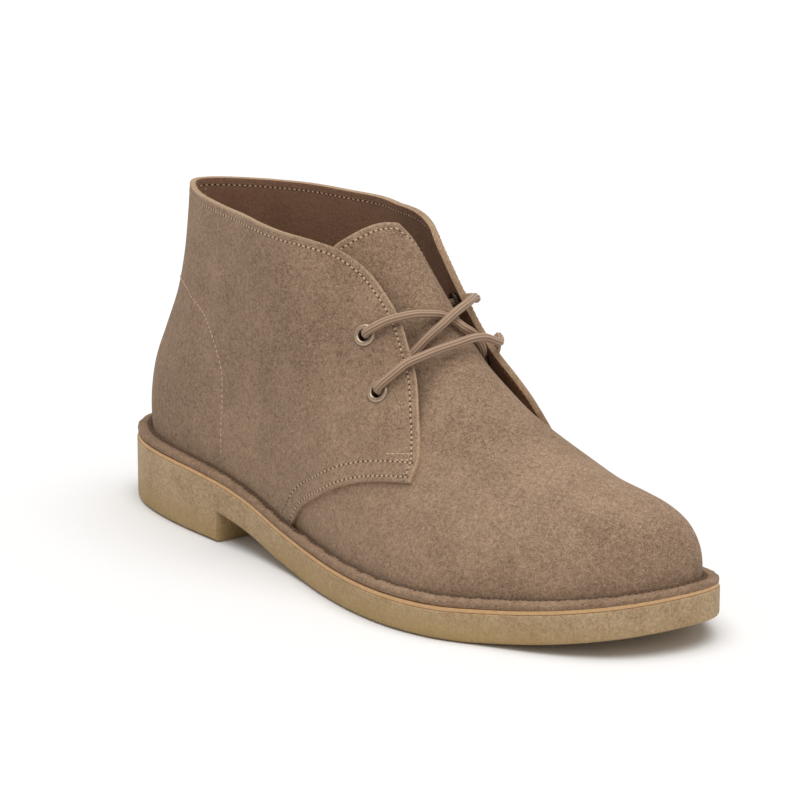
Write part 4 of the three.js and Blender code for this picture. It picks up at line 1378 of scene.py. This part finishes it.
def eyelet_place(eyelet):
    """Centre on the quarter's skin and the axis pointing out of the boot."""
    medial = eyelet["side"] == "medial"
    a = station(eyelet["at"])
    z = (column(FACING, "at", eyelet["side"], eyelet["at"]) - eyelet["below"]) * HEIGHT
    t = turn_at(a, medial, z)
    step = 6e-3

    def skin(da, dt):
        return off(a + da, t + dt, stand_off(a + da, t + dt))

    axis = np.cross(skin(step, 0) - skin(-step, 0), skin(0, step) - skin(0, -step))
    return skin(0, 0), unit(axis)


def turned(place, radius, height, angle):
    """Points around an eyelet's axis."""
    centre, axis = place
    side = unit(np.cross(axis, (0, 0, 1)))
    up = np.cross(axis, side)
    round_about = side * np.cos(angle)[:, None] + up * np.sin(angle)[:, None]
    return centre + round_about * radius[:, None] + axis * height[:, None]


def punch(obj, place):
    centre, axis = place
    radius = EYELET["barrel"] + GAP
    bpy.ops.object.select_all(action="DESELECT")
    bpy.ops.mesh.primitive_cylinder_add(vertices=32, radius=radius * MM, depth=PUNCH_LENGTH * MM)
    cutter = bpy.context.object
    cutter.rotation_euler = Vector(axis).to_track_quat("Z", "Y").to_euler()
    cutter.location = to_scene(centre)
    bpy.ops.object.transform_apply(location=True, rotation=True, scale=True)
    finish_with(obj, "BOOLEAN", operation="DIFFERENCE", object=cutter, solver="EXACT")
    bpy.data.objects.remove(cutter)


places = {eyelet["name"]: eyelet_place(eyelet) for eyelet in EYELETS}
for place in places.values():
    punch(quarters, place)
soften_rim(quarters, RIM_ROUND["quarters"])
measure_quarters(quarters)
dress(quarters, "suede", quarter_suede, lining_suede, cut_edge, angle=60)
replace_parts(quarters, "upper")

# %% [markdown]
# An eyelet is a turned part: a barrel through the leather, a domed flange outside and a
# rolled one inside. A torus laid on that turned section gives a closed ring with a bore.
# The rim measure tells the material where to paint highlights on the brass.

# %% Eyelets
def eyelet_section():
    """Rows of radius, height and strength of the painted highlight on the brass, around the turned section.
    """
    inner = QUARTER_STEP - QUARTER_WALL - EYELET["seat"]
    outer = QUARTER_STEP + 0.05
    dome, bore, rim = EYELET["flange"], EYELET["bore"], EYELET["outer"]
    return np.array([
        (rim, outer, 0.2),
        (rim - 0.05, outer + 0.35 * dome, 0.7),
        (rim - 0.35, outer + 0.8 * dome, 1.0),
        (rim - 0.8, outer + 1.08 * dome, 0.9),
        (mix(bore, rim, 0.45), outer + 1.1 * dome, 0.55),
        (bore + 0.35, outer + 0.95 * dome, 1.0),
        (bore + 0.08, outer + 0.6 * dome, 0.8),
        (bore, outer, 0.2),
        (bore, mix(inner, outer, 0.5), 0.0),
        (bore, inner - dome, 0.0),
        (rim - 0.6, inner - dome, 0.0),
        (rim - 0.4, inner, 0.0),
        (EYELET["barrel"], inner, 0.0),
        (EYELET["barrel"], outer - 0.1, 0.0),
        (rim - 0.3, outer - 0.05, 0.0),
    ])


def make_eyelet(name, place):
    section = eyelet_section()

    def lay(u, v):
        radius, height, _ = section[np.rint(v * len(section)).astype(int) % len(section)].T
        return turned(place, radius, height, 2 * np.pi * u)

    obj = ring("brass_" + name, 48, len(section), lay)
    centre, axis = place
    away = points_of(obj) - centre
    height = away @ axis
    radius = np.linalg.norm(away - height[:, None] * axis, axis=1)
    row = np.argmin(np.hypot(radius[:, None] - section[:, 0], height[:, None] - section[:, 1]), axis=1)
    # The rim measure: strength of the painted highlight at each corner
    measure(obj, "rim", section[row, 2])
    dress(obj, "brass", aged_brass, angle=50)
    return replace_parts(obj, name)


for name, place in places.items():
    make_eyelet(name, place)

# %% [markdown]
# One round cord laces the boot. It comes out of the upper eyelet on the near side, passes
# under the far facing, comes up through the far lower eyelet, crosses to the near lower
# one, and returns under the facing to the far upper eyelet, where it ends out of sight.
# Its points are set one by one over, under and through the pieces it meets. The cord is swept
# along a spline through them, with fine ribs that run along it.

# %% Route of the lace
LACE_OVER = QUARTER_STEP + GAP + LACE_WIDTH / 2 + 0.5
LACE_UNDER = QUARTER_STEP - QUARTER_WALL - 2 * GAP - LACE_WIDTH / 2
LACE_TONGUE = GAP + LACE_WIDTH / 2 + 0.2
FLANGE_TOP = QUARTER_STEP + GAP + EYELET["flange"]
# Heights in the bore, and how far the lace's pull moves it there
BORE_PULLS = {LACE_UNDER - 2: 0, -1: 0.3, 0.6: 0.65, FLANGE_TOP + 0.9: 1.3}


def over_point(share, t, height):
    a = station(share)
    return off(a, t, stand_off(a, t) + height)


def tongue_point(share, t, height):
    return off(station(share), t, np.float64(height))


def through_eyelet(name, towards):
    """Places through the bore; the lace's pull lays it against the rim on the way it leaves."""
    centre, axis = places[name]
    way = towards - centre
    forward = unit(way - axis * (axis @ way))
    return [centre + axis * height + forward * pull for height, pull in BORE_PULLS.items()]


def edge_point(share, side, height, inward):
    medial = side == "medial"
    t = turn_at(station(share), medial, column(FACING, "at", side, share) * HEIGHT)
    return over_point(share, t - inward if medial else t + inward, height)


LACE_ROUTE = [
    *through_eyelet("eyelet_lateral_upper", over_point(0.537, 0.592, LACE_OVER)),
    over_point(0.537, 0.592, LACE_OVER + 0.3),
    over_point(0.545, 0.640, LACE_OVER),
    over_point(0.554, 0.690, LACE_OVER - 0.4),
    tongue_point(0.563, 0.753, LACE_TONGUE + 3.4),
    tongue_point(0.573, 0.832, LACE_TONGUE + 1.0),
    tongue_point(0.580, 0.895, LACE_TONGUE),
    tongue_point(0.592, 0.975, LACE_TONGUE),
    tongue_point(0.600, 1.020, LACE_TONGUE + 0.6),
    tongue_point(0.603, 1.120, LACE_TONGUE + 0.3),
    edge_point(0.598, "medial", LACE_UNDER - 0.2, -0.02),
    *through_eyelet("eyelet_medial_lower", edge_point(0.592, "medial", LACE_OVER, -0.04)),
    edge_point(0.592, "medial", LACE_OVER + 0.8, -0.04),
    edge_point(0.603, "medial", LACE_OVER, 0.01),
    tongue_point(0.612, 1.200, LACE_TONGUE + 4.2),
    tongue_point(0.614, 1.120, LACE_TONGUE + 3.6),
    tongue_point(0.616, 0.990, LACE_TONGUE + 2.8),
    tongue_point(0.613, 0.876, LACE_TONGUE + 1.8),
    tongue_point(0.606, 0.769, LACE_TONGUE + 2.3),
    tongue_point(0.598, 0.675, LACE_TONGUE + 4.0),
    over_point(0.591, 0.614, LACE_OVER),
    over_point(0.586, 0.561, LACE_OVER + 0.3),
    *through_eyelet("eyelet_lateral_lower", over_point(0.586, 0.561, LACE_OVER))[::-1],
    edge_point(0.579, "lateral", LACE_UNDER, -0.04),
    tongue_point(0.583, 0.673, LACE_TONGUE - 1.3),
    tongue_point(0.587, 0.763, LACE_TONGUE + 0.4),
    tongue_point(0.589, 0.850, LACE_TONGUE + LACE_WIDTH - 1.0),
    tongue_point(0.586, 0.966, LACE_TONGUE + LACE_WIDTH),
    tongue_point(0.578, 1.100, LACE_TONGUE + 4.6),
    edge_point(0.562, "medial", LACE_OVER - 0.1, 0.01),
    edge_point(0.552, "medial", LACE_OVER + 0.4, -0.08),
    *through_eyelet("eyelet_medial_upper", edge_point(0.552, "medial", LACE_OVER, -0.08))[::-1],
]
print(len(LACE_ROUTE), "places on the lace's route")


# %% Lace
def spline(points, count):
    """Centripetal spline through the points, cut into even steps."""
    p = np.array(points, float)
    p = np.concatenate([[2 * p[0] - p[1]], p, [2 * p[-1] - p[-2]]])
    knots = np.concatenate([[0], np.cumsum(np.sqrt(np.diff(run_along(p))))])
    fine = []
    for k in range(1, len(p) - 2):
        k0, k1, k2, k3 = knots[k - 1:k + 3]
        t = np.linspace(k1, k2, 40, endpoint=False)[:, None]
        a1 = mix(p[k - 1], p[k], (t - k0) / (k1 - k0))
        a2 = mix(p[k], p[k + 1], (t - k1) / (k2 - k1))
        a3 = mix(p[k + 1], p[k + 2], (t - k2) / (k3 - k2))
        b1, b2 = mix(a1, a2, (t - k0) / (k2 - k0)), mix(a2, a3, (t - k1) / (k3 - k1))
        fine.append(mix(b1, b2, (t - k1) / (k2 - k1)))
    fine = np.concatenate(fine + [p[-2:-1]])
    run = run_along(fine)
    return walk(fine, run, np.linspace(0, run[-1], count)), run[-1]


def frames(path):
    """A pair of sides that don't twist along the path."""
    tangent = unit(np.gradient(path, axis=0))
    side = unit(np.cross(tangent[0], (0, 0, 1)))
    sides = []
    for way in tangent:
        side = unit(side - way * (side @ way))
        sides.append(side)
    return np.array(sides), np.cross(tangent, sides)


LACE_RIBS = 8
LACE_RIB_DEPTH = 0.055
LACE_WEAVE = 0.9
LACE_AROUND = 44
LACE_STEPS = 520


def make_lace():
    path, length = spline(LACE_ROUTE, LACE_STEPS - 1)
    side, up = frames(path)

    def place(u, v):
        k = np.clip(np.rint(v * LACE_STEPS).astype(int) - 1, 0, LACE_STEPS - 2)
        angle = 2 * np.pi * u[:, None]
        tip = (v == 0) | (v == 1)
        radius = LACE_WIDTH / 2 * (1 + LACE_RIB_DEPTH * (np.cos(LACE_RIBS * angle) - 1))
        radius = np.where(tip[:, None], 0, radius)
        return path[k] + (side[k] * np.cos(angle) + up[k] * np.sin(angle)) * radius

    obj = grid("round_lace", LACE_AROUND, LACE_STEPS, place)
    close_seams(obj)
    points = points_of(obj)
    near, _ = nearest(points, path)
    away = points - path[near]
    angle = np.arctan2(np.sum(away * up[near], 1), np.sum(away * side[near], 1))
    # Painted light and shade across the ribs: lighter on their crowns, darker in the grooves
    measure(obj, "rib_shading", 0.5 + 0.5 * np.cos(LACE_RIBS * angle))
    measure(obj, "weave", near * length / LACE_STEPS / LACE_WEAVE)
    dress(obj, "cord", cord_cotton, angle=60)
    print(f"lace {length:.0f} mm along its route")
    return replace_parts(obj, "lace")


make_lace()

# %% [markdown]
# Stitches are small: each is one short capsule of thread between two needle holes. One
# capsule is modelled, and its mesh is copied along every row with numpy, because hundreds
# of separate objects would be slow to move and to export. Each row is found by stepping in
# from a cut edge and dropping on to the finished suede.

# %% One stitch and its place on the suede
THREAD = dict(length=1.45, width=0.72, sink=0.1)


def surface_of(obj):
    depsgraph = bpy.context.evaluated_depsgraph_get()
    return BVHTree.FromObject(obj, depsgraph)


def drop_on(tree, points):
    """Nearest surface points and normals, in millimetres from the back of the heel."""
    spots, normals = [], []
    for p in to_scene(points):
        spot, facing, _, _ = tree.find_nearest(p)
        spots.append(spot)
        normals.append(facing)
    return from_scene(spots), np.array(normals)


def capsule():
    """Corners and faces of a rounded stitch of unit size, kept without its object."""
    bpy.ops.object.select_all(action="DESELECT")
    bpy.ops.mesh.primitive_uv_sphere_add(segments=6, ring_count=5, radius=0.5)
    obj = bpy.context.object
    points = read(obj)
    faces = [tuple(face.vertices) for face in obj.data.polygons]
    bpy.data.objects.remove(obj)
    return points, faces


CAPSULE_POINTS, CAPSULE_FACES = capsule()
print(len(CAPSULE_FACES), "faces in a stitch")


# %% Rows of stitches
def make_stitches(name, rows, sink=THREAD["sink"]):
    """Stitches of several rows, each given by centres, directions and normals."""
    centres, ways, facings = (np.concatenate(part) for part in zip(*rows))
    ways = unit(ways - facings * np.sum(ways * facings, 1, keepdims=True))
    axes = np.stack([np.cross(facings, ways), facings, ways], axis=1)
    shape = CAPSULE_POINTS * (THREAD["width"], THREAD["width"] * 0.8, THREAD["length"])
    points = (centres - facings * sink)[:, None] + shape @ axes
    count = len(CAPSULE_POINTS)
    faces = [tuple(k * count + i for i in face) for k in range(len(centres)) for face in CAPSULE_FACES]
    mesh = bpy.data.meshes.new(name)
    mesh.from_pydata(to_scene(points.reshape(-1, 3)).tolist(), [], faces)
    obj = bpy.data.objects.new(name, mesh)
    bpy.context.scene.collection.objects.link(obj)
    edit(obj, (bpy.ops.mesh.normals_make_consistent, dict(inside=False)))
    dress(obj, "cord", thread_cotton, angle=80)


PATH_STEPS = 400


def along(line, run, way):
    """Points and directions at distances along a line."""
    return walk(line, run, way), unit(walk(line, run, way + 0.6) - walk(line, run, way - 0.6))


def stitch_line(tree, line, distance, towards, start=0.0):
    """A row at a distance from an edge line, on the side of the direction given."""
    run = run_along(line)
    steps = np.arange(math.ceil(start / STITCH_PITCH), math.floor(run[-1] / STITCH_PITCH))
    points, way = along(line, run, steps * STITCH_PITCH)
    _, facing = drop_on(tree, points + np.array(towards) * 2.0)
    inward = np.cross(facing, way)
    inward *= np.sign(np.sum(inward * towards, 1, keepdims=True))
    spots, facing = drop_on(tree, points + inward * distance)
    return spots, way, facing


def stitch_path(tree, corners, medial):
    """A row along a curve through places on the quarters, given as share and turn."""
    at, turn = np.array(corners).T
    path, length = spline(on_quarter(station(at), 2 - turn if medial else turn), PATH_STEPS)
    steps = np.arange(0.5, math.floor(length / STITCH_PITCH))
    points, way = along(path, np.linspace(0, length, PATH_STEPS), steps * STITCH_PITCH)
    spots, facing = drop_on(tree, points)
    return spots, way, facing


# %% Rows on the quarters
# Places of the counter's row, and of the short rows across the facing's bottom
COUNTER = [
    (0.0006, 0.152),
    (0.030, 0.152),
    (0.087, 0.150),
    (0.173, 0.139),
    (0.228, 0.125),
    (0.256, 0.109),
    (0.271, 0.072),
    (0.272, 0.024),
]
TACKS = [[(0.618, 0.374), (0.656, 0.454)], [(0.636, 0.388), (0.659, 0.437)]]
# Directions in from the edges, along the boot, across it and up
DOWN_AND_BACK = (-0.75, 0, -0.65)
UP_AND_BACK = (-0.5, 0, 0.85)
DOWN_AND_FORWARD = (0.9, 0, -0.4)

quarter_skin = surface_of(quarters)
vamp_skin = surface_of(vamp)
edge_rows, path_rows = [], []
for medial in (False, True):
    edge_rows += [
        stitch_line(quarter_skin, edge_line(medial), ROWS["collar"], DOWN_AND_BACK),
        stitch_line(quarter_skin, front_line(medial), ROWS["front"], UP_AND_BACK, start=6),
        stitch_line(quarter_skin, front_line(medial), ROWS["inner_front"], UP_AND_BACK, start=10),
        stitch_line(quarter_skin, edge_line(medial, QUARTER_WALL), ROWS["collar"], DOWN_AND_BACK),
    ]
    path_rows += [stitch_path(quarter_skin, corners, medial) for corners in [COUNTER] + TACKS]
make_stitches("quarter_stitches", edge_rows)
make_stitches("counter_stitches", path_rows, sink=-0.02)

# %% Rows beside the back seam, and on the tongue
seam_heights = np.linspace(78, 0.97 * HEIGHT, 12)
at_back = np.zeros(len(seam_heights))
seam_depth = QUARTER_WALL - QUARTER_REAR_STEP * QUARTER_STEP
back_seam = off(at_back, turn_at(at_back, False, seam_heights), -seam_depth)
make_stitches("lining_stitches", [
    stitch_line(quarter_skin, back_seam, ROWS["back"], (0, side, 0)) for side in (1, -1)])
make_stitches("tongue_stitches", [
    stitch_line(vamp_skin, tongue_line(0.0), ROWS["tongue"], DOWN_AND_FORWARD)])
